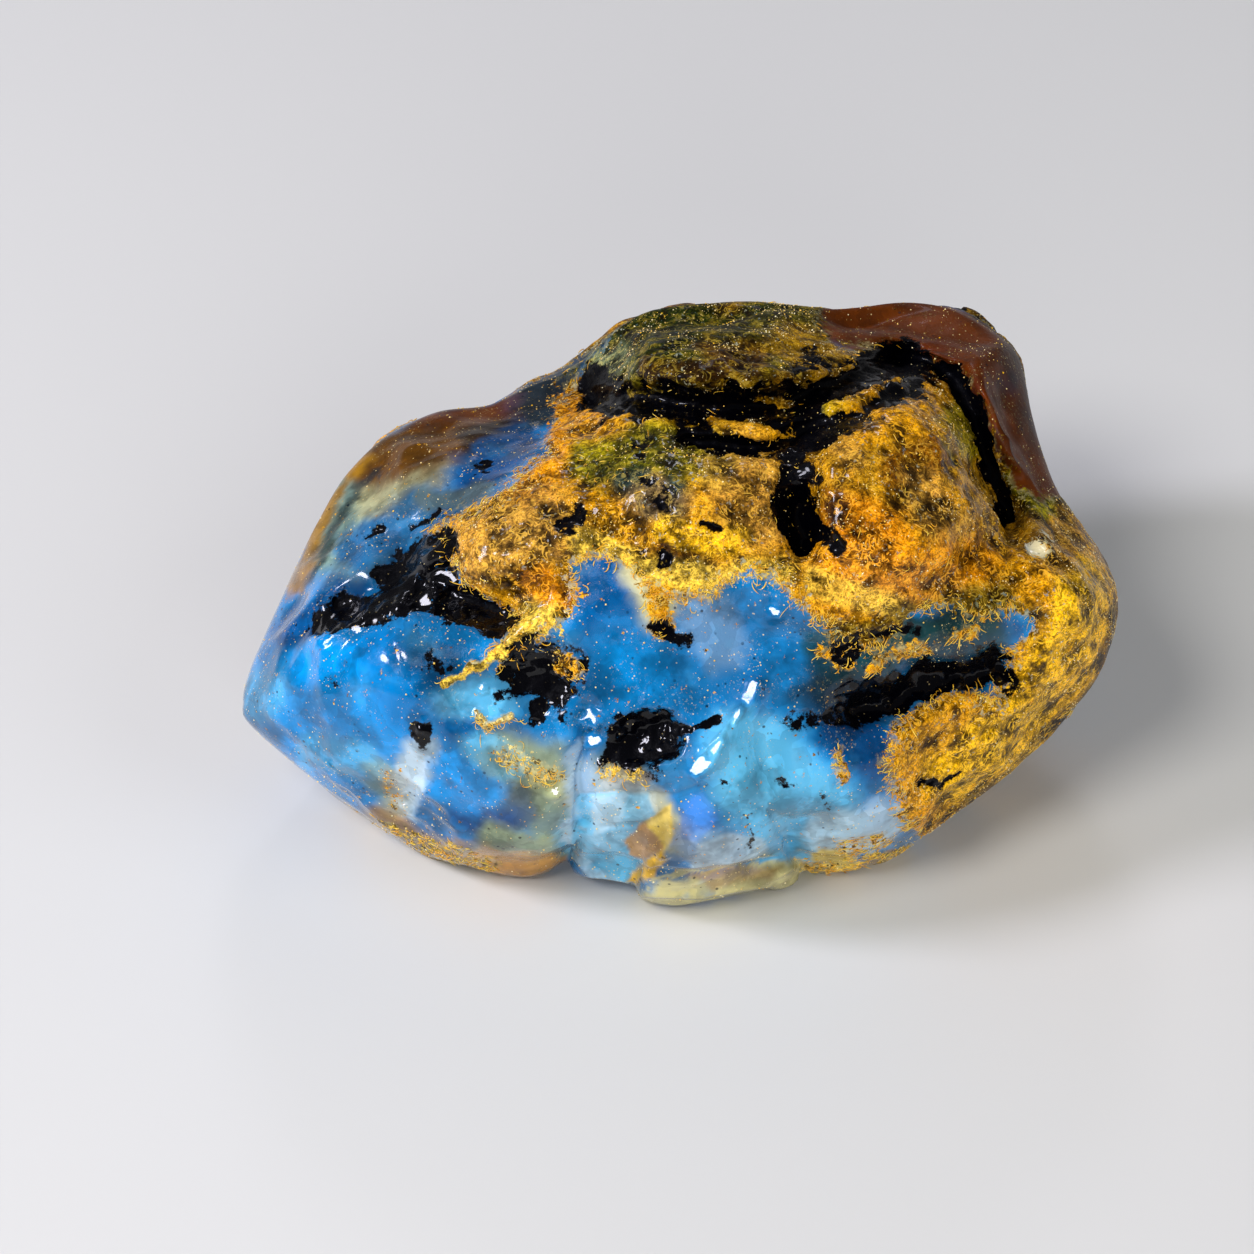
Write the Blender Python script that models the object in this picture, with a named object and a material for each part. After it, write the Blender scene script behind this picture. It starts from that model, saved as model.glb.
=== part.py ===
"""Rough blue amber: one broken lump of fossil resin, 54 mm long, resting on the flat spot under it.

The lump is laid out on its best face. That face leans back by LEAN from upright, and it has its own
directions: a runs to the right, b runs up the face and w stands out of it. Places on the face are
millimetres from its middle, as an eye sees them from EYE_DISTANCE straight out of the face.
The rim is where the face turns away to the hidden side.
"""

import math

import bmesh
import bpy
import numpy as np
from mathutils import Vector

# Driving dimensions, in metres
MM = 0.001
LENGTH = 0.0544
FACE_SWELL = 0.0125
BACK_SWELL = 0.0150
MIDDLE_HEIGHT = 0.0138
MIDDLE_FORWARD = 0.0042
EYE_DISTANCE = 0.294
LEAN = math.radians(40)

# The rim's corners are rounded off over this angle, in degrees, for the body inside it
ROUNDING = 16

# How the rounded body fills out between its middle and its rim: 1 is an ellipse, less is fuller
FACE_FULLNESS = 0.86
BACK_FULLNESS = 0.80

# Grid cells along one side of the cube that is blown up into the body, how far they are drawn towards
# the face, and the triangles that are kept
CELLS = 88
FACE_DRAW = 0.35
KEPT_TRIANGLES = 8600

# The rim, anticlockwise from the right end: a, b and w in mm
RIM = [
    (27.2, 0.0, -2.0), (26.7, 2.3, -3.0), (23.8, 6.8, -5.0), (22.4, 10.3, -7.5), (21.6, 13.8, -9.5),
    (20.9, 15.9, -10.5), (19.1, 17.4, -11.5), (16.9, 18.5, -12.0), (14.1, 18.9, -12.0),
    (11.3, 18.6, -10.5), (8.8, 18.5, -9.0), (5.0, 18.8, -8.0), (1.3, 18.7, -7.5), (-1.9, 18.2, -7.5),
    (-4.3, 16.9, -8.0), (-5.8, 15.5, -8.5), (-7.5, 14.4, -9.0), (-9.4, 13.7, -9.5),
    (-11.9, 12.5, -9.5), (-15.0, 12.1, -9.0), (-17.8, 10.9, -8.0), (-20.0, 9.1, -7.0),
    (-21.7, 6.9, -6.0), (-23.8, 2.8, -4.0), (-26.1, -2.2, -2.0), (-27.1, -4.7, -1.2),
    (-27.3, -6.1, -1.0), (-26.8, -7.6, -1.0), (-22.2, -11.4, -1.5), (-16.6, -15.2, -1.5),
    (-13.1, -16.4, -1.2), (-10.0, -17.0, -1.0), (-8.4, -16.7, -1.0), (-7.1, -16.0, -1.2),
    (-6.3, -16.9, -0.4), (-3.1, -17.4, 0.0), (-2.4, -18.3, 0.4), (-0.9, -18.8, 0.6),
    (1.3, -18.6, 0.6), (6.6, -17.3, 0.0), (7.3, -16.4, -0.6), (9.4, -16.6, -1.0),
    (11.8, -16.3, -1.2), (13.9, -15.3, -1.6), (18.4, -12.0, -2.6), (21.3, -9.7, -3.0),
    (23.9, -7.2, -3.2), (25.8, -4.7, -2.8), (26.8, -2.4, -2.4),
]

# Rounded lobes and pits: middle a, b, half sizes along and across, turn in degrees, height out of the
# face, all in mm, and how steep the side is, from 0 for a gentle swell to near 1 for a ledge
LOBES = {
    "top_dome": ((3.6, 15.6), (9.4, 3.4), -3, 2.4, 0.45),
    "right_dome": ((13.4, 7.4), (6.2, 7.4), -10, 3.4, 0.45),
    "left_crust": ((-8.4, 5.6), (7.6, 3.6), 38, 1.7, 0.30),
    "middle_crust": ((0.4, 7.0), (6.0, 3.2), 0, 1.4, 0.30),
    "crust_tongue": ((7.6, 0.4), (5.6, 2.6), -24, 1.0, 0.20),
    "right_bulge": ((24.4, 2.2), (3.4, 4.6), 0, 2.2, 0.25),
    "centre_foot": ((0.4, -12.6), (7.0, 5.4), 0, 1.1, 0.45),
    "yellow_facet": ((-1.2, -13.6), (2.9, 3.0), 20, -0.7, 0.55),
    "right_foot": ((10.2, -11.4), (6.6, 4.6), 12, 1.0, 0.30),
    "left_cheek": ((-20.0, -5.3), (8.0, 6.0), 0, 0.9, 0.0),
    "left_foot": ((-12.5, -13.2), (5.4, 3.2), -15, 0.7, 0.20),
    "dark_bean": ((-15.9, -8.1), (0.9, 1.5), -25, 0.7, 0.30),
    "left_black_pocket": ((-8.4, -4.4), (2.9, 2.3), 10, -1.1, 0.30),
    "right_black_pocket": ((-1.6, -8.0), (2.6, 1.7), 12, -1.1, 0.30),
    "deep_pit": ((7.6, 5.2), (1.4, 2.9), 8, -3.0, 0.30),
    "blue_field": ((1.6, -2.2), (9.0, 4.2), 4, -0.9, 0.20),
    "back_shoulder": ((20.4, 12.5), (2.6, 5.0), 10, 1.8, 0.20),
}

# Long furrows and crests: height out of the face, half width, and the points they run through, in mm
RUNS = {
    "furrow_under_dome": (-3.0, 0.95, [(-5.5, 13.6), (-1.9, 12.9), (2.5, 12.5), (6.9, 12.6),
                                       (10.3, 14.0), (13.8, 15.2)]),
    "lower_crack": (-1.6, 0.60, [(0.9, 10.4), (5.0, 9.7), (8.4, 10.9), (11.9, 12.5), (14.7, 13.4)]),
    "furrow_behind_dome": (-4.0, 1.25, [(14.1, 16.0), (17.0, 14.4), (18.6, 11.6), (19.7, 8.1),
                                        (20.8, 5.3)]),
    "shoulder_channel": (-2.1, 1.7, [(-17.8, 3.6), (-13.8, 7.2), (-10.0, 10.9), (-6.9, 13.8)]),
    "black_ledge": (-1.9, 1.2, [(-20.8, -0.4), (-17.5, 1.6), (-14.4, 0.9), (-11.3, -0.4)]),
    "left_crest": (1.1, 0.80, [(-22.6, -2.5), (-20.6, -1.1), (-18.4, 0.1), (-15.3, 2.6)]),
    "cheek_groove": (-0.35, 1.10, [(-17.8, -12.6), (-16.8, -9.6), (-13.8, -6.4), (-11.4, -4.2)]),
    "notch": (-1.3, 0.75, [(-5.6, -6.9), (-6.4, -10.9), (-6.7, -14.1), (-7.1, -16.1)]),
    "foot_valley": (-0.5, 1.10, [(5.2, -8.2), (5.8, -11.5), (6.9, -15.9)]),
    "diagonal_crest": (1.1, 0.70, [(4.8, -4.9), (3.1, -7.7), (1.4, -10.0)]),
    "dark_hollow": (-2.3, 1.45, [(11.4, -6.3), (15.3, -4.8), (20.0, -3.6)]),
    "right_band": (1.3, 1.7, [(26.0, 0.3), (25.2, -2.8), (21.8, -7.2), (17.4, -11.2), (15.6, -13.0)]),
}

# Shell-shaped breaks on top and on the hidden side: the middle a, b, w and the radius, in mm, of the ball
# that each one follows, and how far its surface strays from the ball
BREAKS = {
    "shoulder": ((-14.0, 25.0, 1.0), 14.6),
    "above_dome": ((0.0, 32.5, -2.0), 15.4),
    "top_right": ((13.5, 31.0, -5.0), 13.6),
    "far_left": ((-9.0, 28.0, -24.0), 16.0),
    "far_right": ((14.0, 32.0, -27.0), 18.0),
    "back_left": ((-17.0, 6.0, -26.5), 13.0),
    "back_right": ((13.0, -2.0, -31.0), 16.5),
    "right_end": ((33.0, 6.0, -20.0), 15.0),
    "left_end": ((-33.0, -4.0, -18.0), 14.5),
}
BREAK_STRAY = 0.7
BREAK_EDGE = 0.35

# Swells of the skin: size of a lump, and its height on the face, on the slope between face and rim, and
# on the hidden side, in mm
LUMPS = [(8.0, 0.35, 1.3, 1.5), (4.2, 0.22, 0.8, 0.7), (1.9, 0.12, 0.3, 0.3)]


def noise(points, seed):
    """Smooth noise from -1 to 1 with features one unit across: eight seeded lattice values, blended."""
    table = np.random.default_rng(seed).uniform(-1, 1, 4096)
    cell = np.floor(points).astype(np.int64)
    part = points - cell
    part = part * part * (3 - 2 * part)
    total = np.zeros(len(points))
    for corner in range(8):
        step = np.array([corner >> 2 & 1, corner >> 1 & 1, corner & 1])
        at = cell + step
        key = (at[:, 0] * 73856093 ^ at[:, 1] * 19349663 ^ at[:, 2] * 83492791) % 4096
        total += table[key] * np.where(step, part, 1 - part).prod(axis=1)
    return total


def smooth_step(low, high, value):
    """0 below low, 1 above high, and an S-shaped rise between."""
    t = np.clip((value - low) / (high - low), 0, 1)
    return t * t * (3 - 2 * t)


def rim_curve(around, per_span=12):
    """The rim at each angle: its distance, its distance with the corners rounded off, and its w.

    A Catmull-Rom curve runs through RIM and is read as polar coordinates. The rounded distance is the
    mean over ROUNDING degrees.
    """
    here = np.array(RIM)
    before, after, later = np.roll(here, 1, 0), np.roll(here, -1, 0), np.roll(here, -2, 0)
    here, before, after, later = (x[:, None, :] for x in (here, before, after, later))
    t = (np.arange(per_span) / per_span)[None, :, None]
    curve = 0.5 * (2 * here + (after - before) * t
                   + (2 * before - 5 * here + 4 * after - later) * t**2
                   + (3 * here - before - 3 * after + later) * t**3)
    curve = curve.reshape(-1, 3)
    angle = np.arctan2(curve[:, 1], curve[:, 0])
    distance = np.hypot(curve[:, 0], curve[:, 1])
    edge = np.interp(around, angle, distance, period=2 * math.pi)
    spread = np.radians(np.linspace(-ROUNDING, ROUNDING, 17) / 2)
    rounded = sum(np.interp(around + turn, angle, distance, period=2 * math.pi) for turn in spread)
    return edge, rounded / len(spread), np.interp(around, angle, curve[:, 2], period=2 * math.pi)


def lobe_height(a, b, lobe):
    """Height of one lobe at a, b: its full height in the middle, falling to nothing at its oval edge."""
    (a0, b0), (along, across), turn, height, steep = lobe
    c, s = math.cos(math.radians(turn)), math.sin(math.radians(turn))
    q = np.hypot(((a - a0) * c + (b - b0) * s) / along, ((b - b0) * c - (a - a0) * s) / across)
    return height * (1 - smooth_step(steep, 1.15, q))


def run_height(a, b, run):
    """Height of one furrow or crest at a, b: a bell across the nearest straight piece of its line."""
    height, width, points = run
    nearest = np.full(a.shape, np.inf)
    for (a0, b0), (a1, b1) in zip(points, points[1:]):
        da, db = a1 - a0, b1 - b0
        t = np.clip(((a - a0) * da + (b - b0) * db) / (da * da + db * db), 0, 1)
        nearest = np.minimum(nearest, np.hypot(a - a0 - t * da, b - b0 - t * db))
    return height * np.exp(-((nearest / width) ** 2))


def drawn_to_face(directions):
    """Unit directions moved towards the face, so that more of the cells lie on it than on the back.

    The angle from the face's own direction is lessened by FACE_DRAW times its sine.
    """
    angle = np.arccos(np.clip(directions[:, 2], -1, 1))
    drawn = angle - FACE_DRAW * np.sin(angle)
    sideways = directions[:, :2] / np.maximum(np.sin(angle), 1e-9)[:, None]
    return np.column_stack([sideways * np.sin(drawn)[:, None], np.cos(drawn)])


def broken(points, keep):
    """Points inside a break's ball are pushed out to it, except where keep is 1 along the rim."""
    stray = BREAK_STRAY * noise(points / 4.0, 31) + 0.4 * BREAK_STRAY * noise(points / 1.7, 32)
    for middle, radius in BREAKS.values():
        away = points - np.array(middle)
        distance = np.linalg.norm(away, axis=1)
        inside = np.clip((radius + stray - distance) / BREAK_EDGE, -30, 30)
        push = BREAK_EDGE * np.logaddexp(0, inside) * (1 - keep)
        points = points + away * (push / distance)[:, None]
    return points


def body_points(directions):
    """Places in metres, in the nugget's frame, of unit directions from its middle (a, b, w).

    The distance from the middle follows the rim near it and the rounded rim further in, so that the
    rim's notches don't run across the face. Lobes and runs then move the face along w.
    """
    out = directions[:, 2]
    around = np.arctan2(directions[:, 1], directions[:, 0])
    edge, rounded, edge_w = rim_curve(around)
    across = np.sqrt(np.clip(1 - out * out, 0, 1))
    fullness = np.where(out > 0, FACE_FULLNESS, BACK_FULLNESS)
    share = across**fullness
    reach = rounded + (edge - rounded) * smooth_step(np.where(out > 0, 0.70, 0.94), 1.0, across)
    a, b = np.cos(around) * reach * share, np.sin(around) * reach * share
    swell = np.where(out > 0, FACE_SWELL, BACK_SWELL) / MM
    w = edge_w * share**2 + swell * np.sign(out) * np.abs(out) ** fullness

    # A slow wander of the layout keeps lobes and furrows from looking drawn
    grain = np.stack([a, b, w], axis=1)
    wander_a = a + 0.45 * noise(grain / 2.6, 11)
    wander_b = b + 0.45 * noise(grain / 2.6, 12)
    relief = sum(lobe_height(wander_a, wander_b, lobe) for lobe in LOBES.values())
    relief = relief + sum(run_height(wander_a, wander_b, run) for run in RUNS.values())
    w = w + relief * smooth_step(-0.05, 0.25, out)

    # Things nearer the eye look larger, so they are laid out smaller
    seen = 1 - w * MM / EYE_DISTANCE
    placed = np.stack([a * seen, b * seen, w], axis=1)
    hidden = 1 - smooth_step(-0.25, -0.02, out)
    slope = smooth_step(0.02, 0.25, out) * (1 - smooth_step(0.45, 0.75, out))
    face = smooth_step(0.45, 0.75, out)
    for number, (size, face_height, slope_height, back_height) in enumerate(LUMPS):
        swells = noise(grain / size, 21 + number)
        # On the slope the swells only sink in, so that the rim stays the outline
        push = (face_height * face + back_height * hidden) * swells
        push = push - slope_height * slope * np.abs(swells)
        placed = placed + directions * push[:, None]
    rim_band = smooth_step(-0.10, -0.01, out) * (1 - smooth_step(0.01, 0.10, out))
    return standing(broken(placed, rim_band) * MM)


def standing(points):
    """Turns a, b, w into the frame it stands in: +X to the right, +Y away, +Z up."""
    a, b, w = points.T
    y = b * math.sin(LEAN) - w * math.cos(LEAN) - MIDDLE_FORWARD
    z = b * math.cos(LEAN) + w * math.sin(LEAN) + MIDDLE_HEIGHT
    return np.stack([a, y, z], axis=1)


def amber_material():
    material = bpy.data.materials.new("blue_amber")
    material.use_nodes = True
    shader = material.node_tree.nodes["Principled BSDF"]
    shader.inputs["Base Color"].default_value = (0.16, 0.36, 0.62, 1)
    shader.inputs["Roughness"].default_value = 0.2
    shader.inputs["Metallic"].default_value = 0.0
    shader.inputs["IOR"].default_value = 1.54
    return material


def build_amber(collection):
    """The lump: a cube's grid blown up to a ball, each corner of it moved out to the surface."""
    mesh = bpy.data.meshes.new("amber")
    shape = bmesh.new()
    bmesh.ops.create_cube(shape, size=2)
    bmesh.ops.subdivide_edges(shape, edges=shape.edges[:], cuts=CELLS - 1, use_grid_fill=True)
    corners = np.array([v.co for v in shape.verts])
    # The tangent spreads the cells evenly over the ball
    corners = np.tan(corners * (math.pi / 4))
    directions = corners / np.linalg.norm(corners, axis=1, keepdims=True)
    for vertex, place in zip(shape.verts, body_points(drawn_to_face(directions))):
        vertex.co = Vector(place)
    bmesh.ops.recalc_face_normals(shape, faces=shape.faces[:])
    shape.to_mesh(mesh)
    shape.free()
    mesh.materials.append(amber_material())
    amber = bpy.data.objects.new("amber", mesh)
    collection.objects.link(amber)
    return amber


def build_ground_cutter(collection):
    """A block whose top is the surface that the lump rests on. It cuts the lump's flat spot."""
    thick = 0.02
    shape = bmesh.new()
    bmesh.ops.create_cube(shape, size=1)
    bmesh.ops.scale(shape, vec=(2 * LENGTH, 2 * LENGTH, thick), verts=shape.verts[:])
    bmesh.ops.translate(shape, vec=(0, 0, -thick / 2), verts=shape.verts[:])
    mesh = bpy.data.meshes.new("ground_cutter")
    shape.to_mesh(mesh)
    shape.free()
    cutter = bpy.data.objects.new("ground_cutter", mesh)
    cutter.hide_render = True
    cutter.display_type = "WIRE"
    collection.objects.link(cutter)
    return cutter


def main():
    for old in list(bpy.data.objects):
        bpy.data.objects.remove(old)
    parts = bpy.data.collections.new("rough_blue_amber")
    cutters = bpy.data.collections.new("cutters")
    for collection in (parts, cutters):
        bpy.context.scene.collection.children.link(collection)

    amber = build_amber(parts)
    thin = amber.modifiers.new("keep_the_forms", "DECIMATE")
    thin.ratio = KEPT_TRIANGLES / (CELLS * CELLS * 12)
    cut = amber.modifiers.new("flat_spot", "BOOLEAN")
    cut.operation = "DIFFERENCE"
    cut.object = build_ground_cutter(cutters)


if __name__ == "__main__":
    main()
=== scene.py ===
"""Looks of a rough blue amber: the lump's fine skin, its crust fibres, its grit and the stage.

The lump is laid out on its best face, with a to the right, b up the face and w out of it, in
millimetres. Places on the face are as an eye sees them from EYE_DISTANCE straight out of the face.
"""

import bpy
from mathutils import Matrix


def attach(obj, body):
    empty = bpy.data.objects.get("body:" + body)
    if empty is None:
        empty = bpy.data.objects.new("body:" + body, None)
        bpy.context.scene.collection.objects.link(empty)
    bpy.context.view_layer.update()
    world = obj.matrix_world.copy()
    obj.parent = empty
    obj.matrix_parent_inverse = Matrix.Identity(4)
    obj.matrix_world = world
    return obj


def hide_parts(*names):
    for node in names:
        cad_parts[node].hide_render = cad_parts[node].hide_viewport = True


bl_info = {
    "name": "Rough blue amber",
    "version": (1, 0, 0),
    "blender": (4, 5, 0),
    "location": "View3D > Sidebar > Amber",
    "description": "Builds the finished surface of a rough lump of blue amber around its solid",
    "category": "Add Mesh",
}

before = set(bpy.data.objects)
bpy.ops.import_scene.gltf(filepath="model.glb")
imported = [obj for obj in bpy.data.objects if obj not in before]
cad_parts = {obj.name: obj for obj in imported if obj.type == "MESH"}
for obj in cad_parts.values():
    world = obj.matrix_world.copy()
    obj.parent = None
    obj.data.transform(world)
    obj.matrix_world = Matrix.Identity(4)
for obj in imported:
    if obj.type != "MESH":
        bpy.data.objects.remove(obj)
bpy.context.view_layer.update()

import math

import bpy
import numpy as np
from bpy.props import FloatProperty, FloatVectorProperty, IntProperty, PointerProperty
from mathutils import Vector

# The lump's shape, the same as its solid's: lengths in metres, LEAN in radians, ROUNDING in degrees
MM = 0.001
FACE_SWELL = 0.0125
BACK_SWELL = 0.0150
MIDDLE_HEIGHT = 0.0138
MIDDLE_FORWARD = 0.0042
EYE_DISTANCE = 0.294
LEAN = math.radians(40)
ROUNDING = 16
FACE_FULLNESS = 0.86
BACK_FULLNESS = 0.80

# The rim, anticlockwise from the right end: a, b and w in mm
RIM = [
    (27.2, 0.0, -2.0), (26.7, 2.3, -3.0), (23.8, 6.8, -5.0), (22.4, 10.3, -7.5), (21.6, 13.8, -9.5),
    (20.9, 15.9, -10.5), (19.1, 17.4, -11.5), (16.9, 18.5, -12.0), (14.1, 18.9, -12.0),
    (11.3, 18.6, -10.5), (8.8, 18.5, -9.0), (5.0, 18.8, -8.0), (1.3, 18.7, -7.5), (-1.9, 18.2, -7.5),
    (-4.3, 16.9, -8.0), (-5.8, 15.5, -8.5), (-7.5, 14.4, -9.0), (-9.4, 13.7, -9.5),
    (-11.9, 12.5, -9.5), (-15.0, 12.1, -9.0), (-17.8, 10.9, -8.0), (-20.0, 9.1, -7.0),
    (-21.7, 6.9, -6.0), (-23.8, 2.8, -4.0), (-26.1, -2.2, -2.0), (-27.1, -4.7, -1.2),
    (-27.3, -6.1, -1.0), (-26.8, -7.6, -1.0), (-22.2, -11.4, -1.5), (-16.6, -15.2, -1.5),
    (-13.1, -16.4, -1.2), (-10.0, -17.0, -1.0), (-8.4, -16.7, -1.0), (-7.1, -16.0, -1.2),
    (-6.3, -16.9, -0.4), (-3.1, -17.4, 0.0), (-2.4, -18.3, 0.4), (-0.9, -18.8, 0.6),
    (1.3, -18.6, 0.6), (6.6, -17.3, 0.0), (7.3, -16.4, -0.6), (9.4, -16.6, -1.0),
    (11.8, -16.3, -1.2), (13.9, -15.3, -1.6), (18.4, -12.0, -2.6), (21.3, -9.7, -3.0),
    (23.9, -7.2, -3.2), (25.8, -4.7, -2.8), (26.8, -2.4, -2.4),
]

# Rounded lobes and pits: middle a, b, half sizes along and across, turn in degrees, height out of the
# face, all in mm, and how steep the side is, from 0 for a gentle swell to near 1 for a ledge
LOBES = {
    "top_dome": ((3.6, 15.6), (9.4, 3.4), -3, 2.4, 0.45),
    "right_dome": ((13.4, 7.4), (6.2, 7.4), -10, 3.4, 0.45),
    "left_crust": ((-8.4, 5.6), (7.6, 3.6), 38, 1.7, 0.30),
    "middle_crust": ((0.4, 7.0), (6.0, 3.2), 0, 1.4, 0.30),
    "crust_tongue": ((7.6, 0.4), (5.6, 2.6), -24, 1.0, 0.20),
    "right_bulge": ((24.4, 2.2), (3.4, 4.6), 0, 2.2, 0.25),
    "centre_foot": ((0.4, -12.6), (7.0, 5.4), 0, 1.1, 0.45),
    "yellow_facet": ((-1.2, -13.6), (2.9, 3.0), 20, -0.7, 0.55),
    "right_foot": ((10.2, -11.4), (6.6, 4.6), 12, 1.0, 0.30),
    "left_cheek": ((-20.0, -5.3), (8.0, 6.0), 0, 0.9, 0.0),
    "left_foot": ((-12.5, -13.2), (5.4, 3.2), -15, 0.7, 0.20),
    "dark_bean": ((-15.9, -8.1), (0.9, 1.5), -25, 0.7, 0.30),
    "left_black_pocket": ((-8.4, -4.4), (2.9, 2.3), 10, -1.1, 0.30),
    "right_black_pocket": ((-1.6, -8.0), (2.6, 1.7), 12, -1.1, 0.30),
    "deep_pit": ((7.6, 5.2), (1.4, 2.9), 8, -3.0, 0.30),
    "blue_field": ((1.6, -2.2), (9.0, 4.2), 4, -0.9, 0.20),
    "back_shoulder": ((20.4, 12.5), (2.6, 5.0), 10, 1.8, 0.20),
}

# Long furrows and crests: height out of the face, half width, and the points they run through, in mm
RUNS = {
    "furrow_under_dome": (-3.0, 0.95, [(-5.5, 13.6), (-1.9, 12.9), (2.5, 12.5), (6.9, 12.6),
                                       (10.3, 14.0), (13.8, 15.2)]),
    "lower_crack": (-1.6, 0.60, [(0.9, 10.4), (5.0, 9.7), (8.4, 10.9), (11.9, 12.5), (14.7, 13.4)]),
    "furrow_behind_dome": (-4.0, 1.25, [(14.1, 16.0), (17.0, 14.4), (18.6, 11.6), (19.7, 8.1),
                                        (20.8, 5.3)]),
    "shoulder_channel": (-2.1, 1.7, [(-17.8, 3.6), (-13.8, 7.2), (-10.0, 10.9), (-6.9, 13.8)]),
    "black_ledge": (-1.9, 1.2, [(-20.8, -0.4), (-17.5, 1.6), (-14.4, 0.9), (-11.3, -0.4)]),
    "left_crest": (1.1, 0.80, [(-22.6, -2.5), (-20.6, -1.1), (-18.4, 0.1), (-15.3, 2.6)]),
    "cheek_groove": (-0.35, 1.10, [(-17.8, -12.6), (-16.8, -9.6), (-13.8, -6.4), (-11.4, -4.2)]),
    "notch": (-1.3, 0.75, [(-5.6, -6.9), (-6.4, -10.9), (-6.7, -14.1), (-7.1, -16.1)]),
    "foot_valley": (-0.5, 1.10, [(5.2, -8.2), (5.8, -11.5), (6.9, -15.9)]),
    "diagonal_crest": (1.1, 0.70, [(4.8, -4.9), (3.1, -7.7), (1.4, -10.0)]),
    "dark_hollow": (-2.3, 1.45, [(11.4, -6.3), (15.3, -4.8), (20.0, -3.6)]),
    "right_band": (1.3, 1.7, [(26.0, 0.3), (25.2, -2.8), (21.8, -7.2), (17.4, -11.2), (15.6, -13.0)]),
}

# Shell-shaped breaks on top and on the hidden side: the middle a, b, w and the radius, in mm, of the ball
# that each one follows
BREAKS = {
    "shoulder": ((-14.0, 25.0, 1.0), 14.6),
    "above_dome": ((0.0, 32.5, -2.0), 15.4),
    "top_right": ((13.5, 31.0, -5.0), 13.6),
    "far_left": ((-9.0, 28.0, -24.0), 16.0),
    "far_right": ((14.0, 32.0, -27.0), 18.0),
    "back_left": ((-17.0, 6.0, -26.5), 13.0),
    "back_right": ((13.0, -2.0, -31.0), 16.5),
    "right_end": ((33.0, 6.0, -20.0), 15.0),
    "left_end": ((-33.0, -4.0, -18.0), 14.5),
}

# How softly a break meets the skin, in mm
BREAK_EDGE = 0.35

# Swells of the skin: size of a lump, and its height on the face, on the slope between face and rim, and
# on the hidden side, in mm
LUMPS = [(8.0, 0.35, 1.3, 1.5), (4.2, 0.22, 0.8, 0.7), (1.9, 0.12, 0.3, 0.3)]

# Colours as a screen shows them, 0 to 255
PALETTE = {
    "azure": (0, 134, 206), "bright_azure": (0, 152, 234), "mid_blue": (26, 104, 160),
    "deep_blue": (0, 66, 128), "navy": (4, 24, 54), "sky": (98, 190, 232),
    "periwinkle": (70, 140, 240), "milk": (186, 208, 220), "pale_teal": (140, 172, 160),
    "cream": (216, 206, 140), "ivory": (250, 238, 190), "honey": (252, 196, 20),
    "gold": (220, 150, 4), "orange": (220, 128, 0), "rust": (98, 44, 2), "brown": (52, 25, 2),
    "brown_gold": (100, 62, 8), "dull_gold": (176, 126, 18), "red_brown": (90, 32, 4),
    "olive": (76, 74, 4), "moss": (26, 40, 4), "yellow_green": (140, 134, 8),
    "teal": (22, 62, 66), "slate": (28, 44, 52), "tan": (186, 136, 58), "straw": (240, 206, 78),
    "grey_green": (140, 154, 116), "smoke": (82, 94, 102), "soot": (1, 1, 4),
}

# Lines on the face that marks of several kinds follow, in mm
RIDGE_LINE = [(9.4, 19.0), (15.6, 18.4), (20.2, 16.0), (21.8, 11.0), (23.2, 7.6)]
LIP_LINE = [(-2.2, -18.2), (1.3, -18.3), (5.0, -17.5), (7.0, -16.6)]
FOOT_RIM_LINE = [(-6.3, -8.6), (-6.8, -11.2), (-6.9, -13.6), (-6.5, -15.6), (-5.6, -16.7), (-3.3, -17.2)]
STREAK_LINE = [(-14.6, -4.9), (-12.0, -3.4), (-10.0, -1.6)]
UPPER_SHOULDER_LINE = [(-16.5, 12.4), (-10.6, 13.2), (-8.0, 14.2)]

# Where the crust begins and ends on the face, once round, in mm. The points past the rim only close it.
CRUST_EDGE = [
    (-15.0, 4.7), (-11.3, 6.6), (-8.4, 9.4), (-7.5, 12.2), (-5.9, 14.4), (-5.0, 16.3), (-5.0, 24.0),
    (34.0, 24.0), (34.0, -20.0), (18.0, -20.0), (15.0, -14.2), (14.1, -13.1), (13.1, -10.3), (14.1, -7.6),
    (16.8, -5.7), (20.0, -6.3), (20.9, -3.9), (20.8, -2.2), (22.0, -0.6), (20.6, 0.3), (19.1, -0.4),
    (17.5, 0.0), (15.6, 0.3), (14.1, -0.9), (12.5, -2.5), (10.6, -2.2), (8.4, -0.4), (7.2, 0.9),
    (5.6, 2.3), (3.4, 2.1), (1.6, 0.9), (0.0, 0.4), (-1.6, 1.3), (-3.4, 2.8), (-5.3, 3.6), (-6.9, 2.8),
    (-6.8, 0.9), (-7.5, -0.6), (-9.4, -2.2), (-11.3, -3.6), (-10.9, -2.2), (-10.0, -0.6), (-11.3, 0.3),
    (-13.1, 1.6), (-14.3, 3.1),
]

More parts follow.
